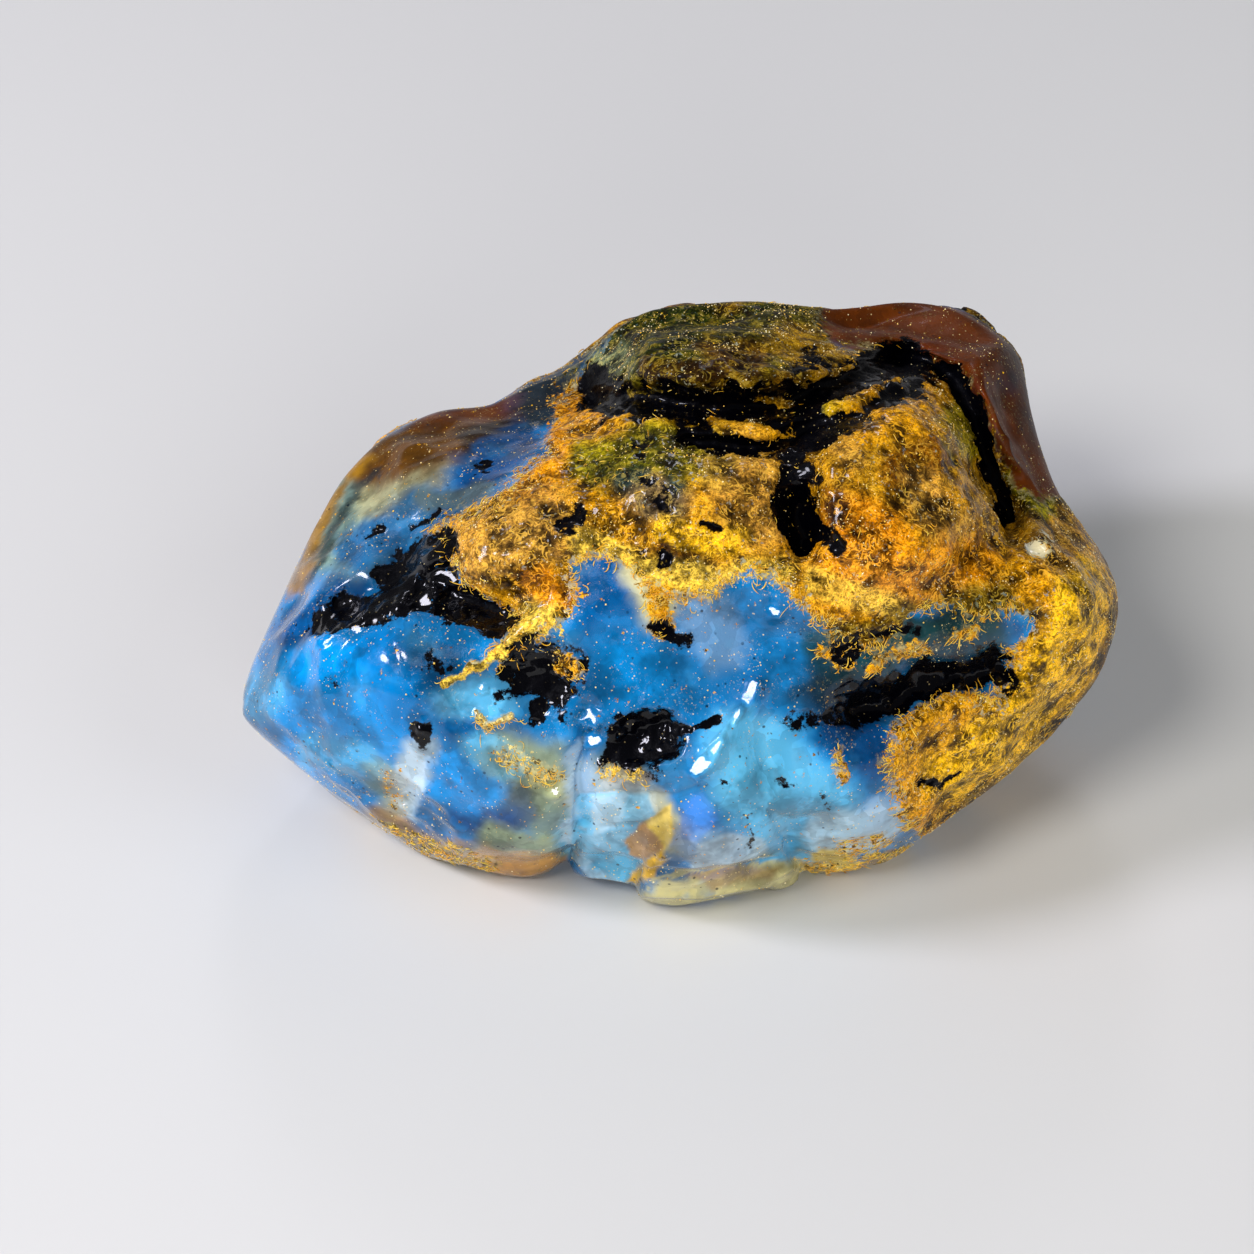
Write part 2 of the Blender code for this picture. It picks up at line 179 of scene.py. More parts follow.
# Crust past that edge: points, half width in mm, share. Here and below, a share under 0 clears away.
CRUST_MARKS = {
    "streak": (STREAK_LINE, 0.30, 0.9),
    "pocket_dust": ([(-7.6, -3.4), (-6.8, -3.9)], 0.80, 0.8),
    "cream_island": ([(-1.6, 0.6), (-1.2, -1.4)], 0.75, 0.75),
    "hollow_island": ([(9.0, -3.0), (10.4, -3.4)], 0.55, 0.55),
    "hollow_roof": ([(12.0, -4.0), (15.0, -2.6), (18.6, -1.6)], 0.45, 0.6),
    "left_edge": ([(-18.6, -13.8), (-15.6, -15.3), (-11.9, -16.3)], 0.65, 0.42),
    "left_foot_dust": ([(-10.8, -9.4), (-8.4, -10.6)], 0.9, 0.42),
    "centre_foot_dust": ([(-4.4, -10.4), (-3.0, -10.6)], 0.6, 0.40),
    "cell_edge": ([(-13.0, -6.9), (-12.2, -7.6), (-10.6, -7.2)], 0.28, 0.7),
    "veil_dust": ([(-18.4, -10.8), (-17.6, -12.6)], 0.8, 0.25),
    "right_edge": ([(7.5, -16.6), (10.6, -16.8), (13.4, -15.8)], 0.55, 0.6),
    "right_foot_dust": ([(10.6, -15.4), (12.8, -14.6)], 0.6, 0.45),
    "right_dust": ([(9.8, -9.2), (10.2, -10.8)], 0.5, 0.6),
    "window_high": ([(19.3, -1.6), (20.4, -1.7)], 0.75, -1.0),
    "window_end": ([(21.5, -1.2)], 0.65, -1.0),
    "hollow_gap": ([(16.0, -1.6), (14.6, -1.2)], 0.9, -1.0),
    # Painted highlight: the crust is cleared for the ivory spot on the right bulge
    "bulge_painted_highlight": ([(22.5, 3.6)], 0.7, -1.0),
    "brown_ridge": ([(11.0, 18.6), (15.6, 17.8), (19.6, 15.9), (21.4, 12.4), (22.8, 9.0)], 2.5, -1.0),
}

# Black pockets and furrows: points, half width in mm, share
SOOT_MARKS = {
    "furrow_under_dome": ([(-5.2, 13.2), (-2.5, 12.7), (2.5, 12.5), (6.9, 12.8), (10.3, 14.2), (13.8, 15.2)],
                          1.3, 1.0),
    "furrow_mouth": ([(-5.4, 14.2), (-4.9, 13.0)], 0.9, 0.9),
    "lower_crack": ([(0.4, 10.5), (4.6, 9.9), (8.0, 10.2), (11.9, 12.4), (14.6, 13.6)], 0.75, 1.0),
    "crack_middle": ([(5.6, 11.4), (8.6, 11.7)], 0.9, 0.9),
    "upper_blot": ([(-2.2, 10.6), (-2.6, 9.6)], 0.7, 0.6),
    "right_blot": ([(10.4, 13.2), (12.6, 14.6)], 0.7, 0.8),
    "furrow_behind_dome": ([(13.8, 15.4), (16.9, 14.2), (18.6, 11.6), (19.6, 8.1), (20.4, 5.4)], 0.6, 0.95),
    "deep_pit": ([(7.7, 8.4), (7.0, 6.4)], 0.9, 1.0),
    "deep_pit_floor": ([(6.7, 6.0), (7.9, 4.5)], 1.5, 1.0),
    "deep_pit_corner": ([(9.0, 4.6), (9.4, 3.7)], 0.6, 0.9),
    "pit_roof": ([(6.3, 10.0), (7.4, 8.6)], 0.8, 0.9),
    "ledge": ([(-21.6, -1.2), (-18.8, 0.3), (-15.8, 0.7), (-13.2, 0.0), (-11.4, -0.9)], 1.2, 1.0),
    "ledge_top": ([(-19.0, 2.3), (-16.6, 2.7), (-14.6, 3.9)], 0.9, 1.0),
    "ledge_neck": ([(-18.0, 1.6), (-14.6, 1.6)], 1.1, 0.95),
    "bar": ([(-16.5, 5.1), (-15.0, 5.9)], 0.24, 0.9),
    "left_lump": ([(-9.6, -4.5), (-7.2, -4.7)], 2.0, 1.0),
    "left_lump_top": ([(-9.7, -2.9)], 1.0, 1.0),
    "left_lump_right": ([(-6.9, -3.4), (-6.3, -4.4)], 1.2, 0.85),
    "left_lump_foot": ([(-8.9, -6.3)], 0.9, 0.9),
    "right_lump": ([(-3.0, -8.7), (-1.4, -8.4)], 1.5, 1.0),
    "right_lump_trail": ([(-0.8, -7.8), (0.6, -7.7), (2.2, -7.0)], 0.5, 0.85),
    "bean": ([(-16.1, -7.8), (-15.8, -8.8)], 0.62, 1.0),
    "hollow": ([(11.3, -6.5), (14.1, -5.4), (16.9, -4.4), (20.0, -4.2)], 1.15, 1.0),
    "hollow_tail": ([(7.0, -7.4), (9.4, -7.2), (11.4, -6.7)], 0.55, 0.6),
    "hollow_top": ([(9.8, -2.7), (11.0, -2.6)], 0.7, 0.85),
    "hollow_top_right": ([(12.2, -1.8), (14.2, -1.6)], 0.55, 0.7),
    "crust_patch": ([(-7.4, 5.2), (-6.2, 5.7)], 0.42, 0.95),
    "small_bar": ([(1.2, 5.2), (2.4, 4.9)], 0.26, 1.0),
    "curl_shadow": ([(-0.9, 3.1), (-0.9, 2.6)], 0.4, 0.85),
    "island_shadow": ([(-1.6, -1.3), (-0.6, -1.9), (0.2, -2.2)], 0.42, 0.85),
    "green_shadow": ([(-1.9, 7.8), (-1.0, 6.4)], 0.7, 0.55),
    "dome_shadow": ([(8.4, 15.2), (7.6, 14.2)], 0.8, 0.7),
    "band_crease": ([(14.7, -11.1), (15.9, -11.1), (17.2, -10.5)], 0.17, 0.9),
    "bruise": ([(-15.6, -3.4), (-15.0, -3.9)], 0.75, 0.45),
    "squiggle": ([(4.2, -13.6), (4.7, -14.4), (4.4, -15.0)], 0.20, 0.52),
    "right_squiggle": ([(5.9, -11.0), (6.6, -11.5), (7.2, -11.3)], 0.22, 0.52),
    "top_squiggle": ([(2.9, -10.9), (3.4, -11.4)], 0.22, 0.50),
    "far_squiggle": ([(8.9, -11.9), (9.3, -12.7)], 0.22, 0.50),
    "centre_squiggle": ([(-2.4, -10.4), (-1.6, -10.9)], 0.24, 0.50),
    "channel_fleck": ([(-19.4, 4.2), (-18.6, 4.6)], 0.26, 0.8),
    "channel_fleck_right": ([(-12.8, 8.6), (-12.0, 9.0)], 0.24, 0.8),
    "cheek_fleck": ([(-21.9, -4.6), (-21.2, -5.0)], 0.20, 0.50),
    "pocket_dust": ([(-7.0, -3.6), (-6.2, -4.6)], 1.0, -0.55),
    "gold_flake": ([(2.4, 11.15), (5.3, 10.95)], 0.33, -1.0),
    "upper_flake": ([(4.6, 12.9), (6.8, 12.75)], 0.26, -0.9),
    "right_flake": ([(9.2, 12.1), (12.0, 13.2)], 0.42, -0.9),
    "shelf_flake": ([(7.4, 14.0), (10.4, 14.9)], 0.32, -0.85),
    "left_flake": ([(-3.2, 13.4), (-1.0, 13.2)], 0.22, -0.7),
    "pit_flake": ([(5.2, 8.6), (6.0, 8.9)], 0.26, -0.7),
}

# Washes of colour in the clear resin: points, half width in mm, colour, share
RESIN_MARKS = {
    "cheek": ([(-24.0, -5.0), (-17.0, -6.0)], 4.5, "azure", 0.8),
    "cheek_glow": ([(-21.8, -3.4), (-19.8, -4.2)], 2.2, "bright_azure", 0.9),
    "low_cheek": ([(-22.4, -8.8), (-19.0, -9.0)], 2.0, "bright_azure", 0.9),
    "low_cheek_sky": ([(-22.6, -9.0), (-20.0, -9.6)], 1.2, "sky", 0.55),
    "cheek_deep": ([(-18.2, -3.6), (-16.6, -6.0)], 2.0, "deep_blue", 0.45),
    "tip": ([(-26.5, -5.6)], 1.6, "sky", 0.5),
    "upper_cheek": ([(-22.8, 1.9), (-21.4, 3.3)], 1.4, "azure", 0.9),
    "cheek_lane": ([(-24.8, -1.6), (-20.2, 1.2)], 0.9, "deep_blue", 0.8),
    "shoulder_pale": ([(-21.4, 4.4), (-17.8, 8.0)], 2.6, "pale_teal", 1.0),
    "shoulder_cream": ([(-19.0, 6.4), (-15.4, 7.8)], 1.3, "cream", 0.6),
    "shoulder_gold": ([(-19.6, 9.0), (-15.5, 10.4), (-12.5, 11.4)], 2.1, "brown_gold", 1.0),
    "shoulder_brown": ([(-16.5, 12.4), (-10.6, 13.0), (-8.0, 14.2)], 1.4, "rust", 0.85),
    "shoulder_smoke": ([(-13.0, 10.2), (-11.0, 10.9)], 0.9, "soot", 0.75),
    "channel": ([(-20.3, 3.3), (-16.3, 6.0), (-12.3, 8.4), (-9.9, 10.0)], 1.2, "mid_blue", 0.95),
    "channel_deep": ([(-13.2, 7.7), (-9.8, 10.6)], 1.1, "deep_blue", 0.75),
    "channel_grey": ([(-15.8, 6.6), (-12.4, 7.0)], 0.8, "grey_green", 0.45),
    "haze": ([(-9.0, 12.4), (-7.2, 14.8), (-6.2, 16.4)], 1.3, "slate", 0.95),
    # Partly painted light: the gold on the thin flange stands for light shining through its edge, over the
    # amber's own gold
    "flange": ([(-24.4, 1.2), (-22.8, 5.4), (-20.4, 9.2)], 0.8, "dull_gold", 0.9),
    "flange_shadow": ([(-23.1, 1.8), (-21.2, 5.4), (-19.0, 8.4)], 0.32, "slate", 0.75),
    "field": ([(0.0, -2.6), (7.0, -3.4)], 3.6, "mid_blue", 0.6),
    "window_left": ([(-5.4, 1.8), (-4.6, -0.6)], 2.0, "deep_blue", 0.75),
    "window_left_glow": ([(-3.8, -2.6), (-1.8, -4.4)], 1.8, "azure", 0.5),
    "window_right": ([(2.6, 1.2), (5.6, 0.6)], 1.2, "azure", 0.7),
    "field_milk": ([(1.2, 0.2), (2.6, -2.4)], 1.6, "milk", 0.22),
    "cream_cloud": ([(-2.2, 2.2), (-1.4, 0.4)], 1.5, "cream", 0.85),
    "bruise": ([(-15.6, -3.3), (-14.6, -4.2)], 1.3, "navy", 0.6),
    "azure_cell": ([(-14.2, -6.0), (-11.2, -5.8)], 1.3, "sky", 0.65),
    "cell_floor": ([(-14.6, -8.0), (-10.0, -8.2)], 0.9, "deep_blue", 0.6),
    "foot_green": ([(-10.8, -9.6), (-8.4, -10.6)], 1.9, "grey_green", 0.9),
    "foot_straw": ([(-8.9, -10.6), (-7.4, -11.6)], 0.8, "cream", 0.6),
    "foot_smoke": ([(-13.0, -11.4), (-9.6, -12.6)], 1.1, "smoke", 0.8),
    "foot_deep": ([(-13.4, -12.9), (-11.0, -13.4)], 1.1, "deep_blue", 0.85),
    "foot_azure": ([(-15.2, -10.4), (-13.0, -11.2)], 1.7, "bright_azure", 0.8),
    "foot_sky": ([(-12.8, -8.8), (-10.8, -9.6)], 1.0, "sky", 0.7),
    "veil": ([(-16.4, -9.2), (-17.4, -12.6)], 1.0, "milk", 0.85),
    "veil_edge": ([(-18.6, -10.6), (-18.0, -12.4)], 1.1, "pale_teal", 0.7),
    "left_gold_edge": ([(-19.0, -13.6), (-15.6, -15.2), (-11.9, -16.2), (-9.0, -16.6)],
                       0.95, "dull_gold", 0.8),
    "left_edge_straw": ([(-11.6, -14.6), (-8.4, -15.2)], 1.2, "grey_green", 0.9),
    "left_edge_gold": ([(-12.4, -15.9), (-8.2, -16.2)], 0.7, "gold", 0.8),
    "notch_grey": ([(-8.4, -11.6), (-7.8, -14.0)], 1.0, "grey_green", 0.7),
    "centre_azure": ([(-5.9, -9.8), (-5.9, -14.0)], 0.9, "azure", 0.85),
    "centre_green": ([(-3.9, -10.2), (-3.5, -12.6)], 1.5, "grey_green", 0.75),
    "centre_pale": ([(-5.6, -14.4), (-3.8, -15.8)], 1.7, "sky", 0.9),
    "centre_milk": ([(-4.6, -12.6), (-4.4, -14.6)], 1.1, "milk", 0.8),
    "centre_straw": ([(-1.6, -12.6), (0.0, -14.6)], 1.1, "cream", 0.7),
    "centre_dirt": ([(-4.2, -10.6), (-2.8, -10.8)], 0.8, "dull_gold", 0.5),
    "periwinkle": ([(0.8, -14.6), (1.8, -12.8)], 1.0, "periwinkle", 0.4),
    "pale_facet": ([(1.6, -15.6), (4.0, -15.2)], 1.3, "milk", 0.5),
    "azure_right": ([(5.6, -13.4), (8.6, -11.0)], 2.6, "bright_azure", 0.6),
    "right_glow": ([(5.4, -9.8), (9.0, -13.4)], 2.4, "sky", 0.85),
    "milky_right": ([(3.4, -8.8), (4.6, -12.0)], 2.2, "sky", 0.9),
    "sky_right": ([(5.4, -14.8), (7.4, -15.6)], 1.3, "sky", 0.7),
    "lip": (LIP_LINE, 0.75, "cream", 1.0),
    "deep_right": ([(10.2, -8.0), (12.6, -9.4)], 1.7, "deep_blue", 0.85),
    "pale_lower_right": ([(9.0, -14.4), (12.6, -13.8)], 1.3, "milk", 0.75),
    "cream_spot": ([(8.8, -15.6), (10.2, -15.9)], 0.6, "straw", 0.9),
    "foot_pale": ([(-5.6, -11.0), (-3.0, -12.6)], 1.6, "milk", 0.6),
    "right_gold_edge": ([(7.5, -16.6), (10.6, -16.9), (13.6, -15.8)], 0.5, "dull_gold", 0.9),
    "teal_band": ([(9.0, -5.4), (12.6, -4.0)], 1.0, "teal", 0.8),
    "window_high": ([(18.8, -2.0), (20.6, -1.6)], 0.8, "deep_blue", 0.7),
    "window_green": ([(13.4, -1.8), (16.8, -1.0), (19.0, -0.8)], 1.0, "moss", 0.9),
    "window_shade": ([(8.4, -2.2), (12.6, -2.6)], 0.9, "teal", 0.8),
    "ridge": ([(9.4, 19.0), (15.6, 18.0), (20.2, 15.8), (21.8, 11.0), (23.2, 7.6)], 3.6, "rust", 1.0),
    "ridge_dark": ([(21.6, 15.4), (23.0, 11.0)], 1.6, "brown", 0.7),
    "ridge_red": ([(15.2, 15.4), (17.8, 13.4)], 1.4, "red_brown", 0.6),
    "ridge_blue": ([(20.4, 13.9)], 0.7, "navy", 0.5),
    "hollow_roof": ([(9.5, -3.4), (14.0, -2.6), (19.0, -2.2)], 1.5, "teal", 0.85),
    "hollow_left": ([(8.2, -6.0), (10.8, -5.4)], 1.2, "slate", 0.7),
    # Painted highlight: an ivory spot on the right bulge where the lamp would shine
    "bulge_painted_highlight": ([(22.5, 3.6)], 1.0, "ivory", 0.9),
    "ledge_shade": ([(-20.6, -0.4), (-17.2, 2.4), (-13.4, 4.2)], 1.8, "navy", 0.50),
    "left_lump_shade": ([(-9.6, -4.5), (-7.2, -4.7)], 2.8, "navy", 0.50),
    "right_lump_shade": ([(-3.0, -8.7), (-1.4, -8.4)], 2.1, "navy", 0.45),
    "hollow_shade": ([(9.6, -6.8), (16.9, -4.4)], 1.9, "navy", 0.50),
    "veil_tan": ([(-17.8, -10.8), (-17.6, -12.6)], 0.8, "tan", 0.35),
    # Painted highlights: this mark and the next are pale lines along the glassy edges of the centre foot and
    # of the lip
    "foot_rim": (FOOT_RIM_LINE, 0.30, "milk", 0.6),
    "lip_rim": ([(-2.0, -17.2), (1.6, -17.0), (6.2, -16.2)], 0.14, "cream", 0.8),
}

# Crisp facets in the resin: outline in mm, colour, share
FACETS = {
    "foot_pane": ([(-6.5, -11.8), (-4.2, -11.7), (-2.0, -11.9), (-1.4, -13.2), (-3.2, -14.2), (-3.4, -15.4),
                   (-5.8, -15.9), (-6.7, -14.6)], "sky", 0.6),
    "foot_pane_pale": ([(-5.6, -11.9), (-3.2, -11.8), (-3.6, -13.6), (-5.2, -14.4)], "milk", 0.55),
    "tan_facet": ([(-3.6, -14.7), (-2.2, -13.6), (-0.7, -14.0), (-1.0, -15.3), (-2.2, -15.9), (-3.2, -15.7)],
                  "tan", 0.9),
    "straw_facet": ([(-2.2, -13.6), (-0.6, -12.4), (-0.3, -14.2), (-0.9, -15.4), (-1.3, -14.6)],
                    "straw", 0.85),
    "flake": ([(-3.3, -17.2), (-2.2, -16.0), (-1.0, -15.2), (-0.8, -15.9), (-1.7, -17.0), (-2.8, -17.6)],
              "honey", 1.0),
    "blue_pane": ([(0.0, -12.4), (1.6, -11.8), (2.4, -13.2), (1.2, -14.8), (0.1, -14.6)], "periwinkle", 0.4),
    "pale_pane": ([(1.2, -15.0), (3.0, -14.2), (5.2, -14.6), (5.6, -15.8), (2.6, -16.6), (0.8, -16.4)],
                  "milk", 0.7),
    "lip_gold": ([(0.4, -17.0), (3.4, -16.6), (6.4, -16.2), (5.4, -16.9), (2.0, -17.6)], "tan", 0.55),
    "left_pane": ([(-12.8, -9.4), (-11.0, -8.6), (-9.4, -9.4), (-9.8, -10.6), (-12.0, -10.8)],
                  "pale_teal", 0.5),
    "veil_pane": ([(-17.6, -9.4), (-16.2, -9.0), (-15.9, -11.4), (-16.7, -13.4), (-18.0, -12.2)],
                  "milk", 0.5),
    "cell_pane": ([(-14.6, -5.6), (-12.6, -5.0), (-10.8, -5.6), (-11.4, -6.9), (-13.6, -7.1)], "sky", 0.5),
}

# Washes of colour in the crust: points, half width in mm, colour, share
CRUST_TONES = {
    "dome_olive": ([(-5.0, 16.0), (6.4, 17.0)], 3.6, "olive", 1.0),
    "dome_moss": ([(-2.6, 16.4), (3.0, 15.6)], 2.2, "moss", 0.9),
    "dome_brown": ([(2.2, 16.4), (4.4, 15.6)], 1.2, "brown_gold", 0.8),
    "streak": (STREAK_LINE, 0.8, "straw", 0.8),
    "dome_teal": ([(-4.4, 15.6)], 1.4, "grey_green", 0.6),
    "dome_gold": ([(4.4, 16.8), (7.6, 16.2)], 1.1, "dull_gold", 0.45),
    "dome_shade": ([(-4.6, 17.4), (0.0, 18.0), (5.0, 18.0)], 1.5, "moss", 0.9),
    "dome_floor": ([(-2.0, 14.6), (4.6, 14.4)], 0.7, "brown", 0.8),
    "shelf": ([(6.4, 13.6), (12.6, 13.8)], 1.1, "brown_gold", 0.75),
    "shelf_glow": ([(8.4, 14.5), (9.6, 14.8)], 0.5, "dull_gold", 0.7),
    "shelf_green": ([(8.6, 12.1), (10.4, 12.6)], 0.8, "yellow_green", 0.7),
    "shelf_teal": ([(8.2, 12.0)], 0.6, "grey_green", 0.6),
    "dome_glow": ([(7.0, 16.2), (8.2, 15.8)], 1.0, "dull_gold", 0.5),
    "ridge": ([(11.0, 18.4), (15.6, 17.6), (19.4, 15.9), (21.2, 12.4), (22.6, 8.6)], 2.8, "brown", 0.95),
    "ridge_red": ([(15.4, 15.0), (17.6, 13.4)], 1.2, "red_brown", 0.8),
    "left_orange": ([(-9.6, 8.2), (-6.6, 11.6)], 2.2, "orange", 0.55),
    "upper_yellow": ([(-5.6, 10.8), (-2.2, 11.0)], 1.5, "gold", 0.6),
    "upper_green": ([(-5.6, 8.8), (-2.4, 9.4)], 1.4, "yellow_green", 0.9),
    "middle_green": ([(-1.6, 10.0), (1.8, 9.2)], 1.7, "yellow_green", 0.9),
    "green_spots": ([(-4.6, 7.8), (-2.6, 8.2)], 0.9, "moss", 0.9),
    "green_depth": ([(-0.6, 8.8), (-0.2, 7.6)], 0.9, "moss", 0.9),
    "upper_moss": ([(-3.2, 10.4), (-1.0, 10.2)], 0.8, "moss", 0.7),
    "middle_teal": ([(-2.6, 7.2), (-0.4, 6.4)], 1.2, "teal", 0.75),
    "middle_tan": ([(3.4, 8.4), (5.0, 5.6)], 2.2, "tan", 0.7),
    "left_tan": ([(-13.6, 3.0), (-8.8, 5.0)], 2.2, "tan", 0.75),
    "left_shade": ([(-11.4, 7.2), (-9.4, 9.0)], 1.1, "rust", 0.4),
    "left_deep_orange": ([(-9.0, 1.6), (-8.0, 0.4)], 1.2, "orange", 0.8),
    "left_straw": ([(-8.8, -0.8), (-7.6, -1.8)], 1.1, "straw", 0.8),
    "curl_brown": ([(-0.4, 3.8), (1.4, 2.8)], 1.0, "rust", 0.85),
    "curl_glow": ([(-0.9, 4.9), (1.2, 4.2), (3.4, 4.0)], 0.8, "honey", 0.6),
    "edge_straw": ([(-6.0, 3.6), (-2.6, 2.6), (2.4, 1.8), (6.4, 2.0)], 0.9, "straw", 0.6),
    "dome_yellow": ([(11.6, 11.6), (15.6, 11.8)], 1.9, "gold", 0.8),
    "dome_pale": ([(9.8, 10.2), (10.6, 9.0)], 0.8, "tan", 0.5),
    "dome_side": ([(17.2, 11.4), (17.8, 9.8)], 1.0, "yellow_green", 0.8),
    "dome_rust": ([(13.6, 8.2), (15.8, 9.4)], 1.3, "rust", 0.8),
    "dome_orange": ([(10.6, 5.2), (12.2, 4.4)], 1.8, "orange", 0.75),
    "dome_left_rust": ([(9.4, 7.2), (9.6, 4.6)], 0.8, "rust", 0.6),
    "dome_tan": ([(15.0, 7.0), (16.6, 5.0)], 1.5, "tan", 0.75),
    "skirt_tan": ([(11.0, 1.6), (16.4, 1.2)], 1.4, "tan", 0.6),
    "skirt_gold": ([(10.0, 1.8), (18.0, 2.6)], 1.8, "orange", 0.55),
    "skirt_straw": ([(8.6, 1.4), (13.0, 0.4)], 0.8, "straw", 0.5),
    "bulge_tan": ([(23.4, 4.2), (24.4, 2.4)], 1.6, "tan", 0.6),
    "bulge_gold": ([(25.6, 2.0), (24.6, 0.0)], 1.3, "honey", 0.5),
    "band": ([(25.2, 0.6), (24.4, -2.6), (21.0, -7.4), (17.2, -10.6)], 2.0, "honey", 0.6),
    # Painted shade: brown along the rim where the band rounds under
    "band_underside_shade": ([(27.6, -0.4), (26.4, -4.6), (22.2, -9.4), (16.4, -14.2)], 0.75, "brown", 0.85),
    "fringe": ([(7.4, -1.0), (9.4, -1.6), (12.4, -1.6), (14.6, -0.2), (19.6, 0.4), (21.6, -0.6)],
               0.75, "moss", 0.75),
    "foot_dust": ([(-13.0, -7.0), (-10.4, -7.4), (-9.8, -9.6), (-8.4, -11.0)], 1.3, "cream", 0.75),
    "centre_dust": ([(-4.4, -10.4), (-3.0, -10.6)], 0.9, "straw", 0.6),
    "left_edge": ([(-18.8, -13.6), (-15.6, -15.2), (-8.4, -16.5)], 1.1, "yellow_green", 0.55),
    "right_edge": ([(7.5, -16.6), (10.6, -16.6), (13.0, -15.4)], 0.9, "straw", 0.5),
    "fringe_left": ([(-11.4, -0.6), (-9.6, -2.6)], 0.6, "brown_gold", 0.6),
    "side_green": ([(21.1, 7.9), (22.6, 5.9)], 0.7, "yellow_green", 0.9),
    "side_dark": ([(20.6, 6.8), (22.0, 4.6)], 0.8, "brown", 0.6),
}

# Places where more light passes through than in the body: points, half width in mm, share
CLEAR_MARKS = {
    "flange": ([(-24.2, 1.6), (-22.2, 5.8), (-19.8, 9.4)], 0.9, 0.30),
    "upper_shoulder": (UPPER_SHOULDER_LINE, 1.8, 0.18),
    "ridge": (RIDGE_LINE, 2.4, 0.15),
    "lip": (LIP_LINE, 0.9, 0.20),
    "flake": ([(-3.0, -17.2), (-1.3, -15.8)], 0.7, 0.35),
    "yellow_facet": ([(-3.0, -14.3), (-0.9, -13.6), (-1.0, -15.4)], 1.0, 0.15),
    "left_edge": ([(-20.0, -13.4), (-15.6, -15.4), (-8.6, -16.8)], 0.9, 0.30),
    "foot": ([(-5.2, -14.0), (-3.4, -15.8)], 1.6, 0.20),
}

# Share of light that passes through the body, and how much more passes through a fresh break
CLEAR_BODY = 0.10
CLEAR_BREAK = 0.35

# Thin crests and cracks of the resin: height, half width and points, in mm
FINE_RUNS = {
    "foot_rim": (0.32, 0.28, FOOT_RIM_LINE),
    "pane_top": (-0.14, 0.16, [(-6.4, -11.9), (-4.2, -11.7), (-1.6, -11.9)]),
    "pane_side": (0.14, 0.16, [(-0.2, -11.4), (0.0, -13.6), (-0.7, -15.6)]),
    "right_ripple": (0.12, 0.20, [(5.4, -11.6), (6.4, -13.4), (6.2, -15.2)]),
    "lip_rim": (0.35, 0.30, [(-2.2, -17.9), (1.3, -18.0), (5.0, -17.2), (6.9, -16.3)]),
    "lip_fold": (-0.30, 0.25, [(-2.4, -16.6), (1.6, -16.9), (6.2, -16.0)]),
    "facet_edge": (0.22, 0.22, [(-0.5, -12.8), (-0.6, -15.0), (-2.4, -17.0)]),
    "facet_top": (-0.20, 0.18, [(-4.8, -13.9), (-2.2, -13.7), (-0.8, -12.9)]),
    "crack_right": (-0.16, 0.10, [(1.2, -11.3), (3.1, -13.2)]),
    "crack_left": (-0.12, 0.10, [(1.2, -11.3), (-0.6, -11.9), (-2.6, -11.7)]),
    "crack_top": (0.14, 0.12, [(1.2, -11.3), (0.9, -10.2), (2.4, -8.4), (4.8, -5.0)]),
    "cell_rim": (0.22, 0.20, [(-15.0, -5.4), (-14.2, -6.6), (-12.2, -7.4), (-10.2, -7.0)]),
    "veil_edge": (0.18, 0.22, [(-15.6, -9.2), (-15.8, -11.2), (-16.4, -13.0)]),
    "foot_fold": (-0.25, 0.25, [(-11.8, -9.0), (-10.6, -11.2), (-8.2, -12.6)]),
    "right_fold": (-0.18, 0.22, [(4.6, -12.4), (7.0, -13.6), (9.2, -13.2)]),
    "cheek_fold": (-0.12, 0.30, [(-18.0, -2.6), (-17.0, -5.0), (-17.6, -7.6)]),
}

# Places without the film of wet: points, half width in mm, share
DULL_MARKS = {
    "shoulder": ([(-22.0, 6.0), (-17.0, 9.0), (-10.0, 13.0), (-7.0, 15.0)], 3.4, -0.85),
    "ridge": (RIDGE_LINE, 3.6, -0.9),
    "dome": ([(-4.0, 17.0), (8.0, 17.0)], 2.8, -0.9),
}

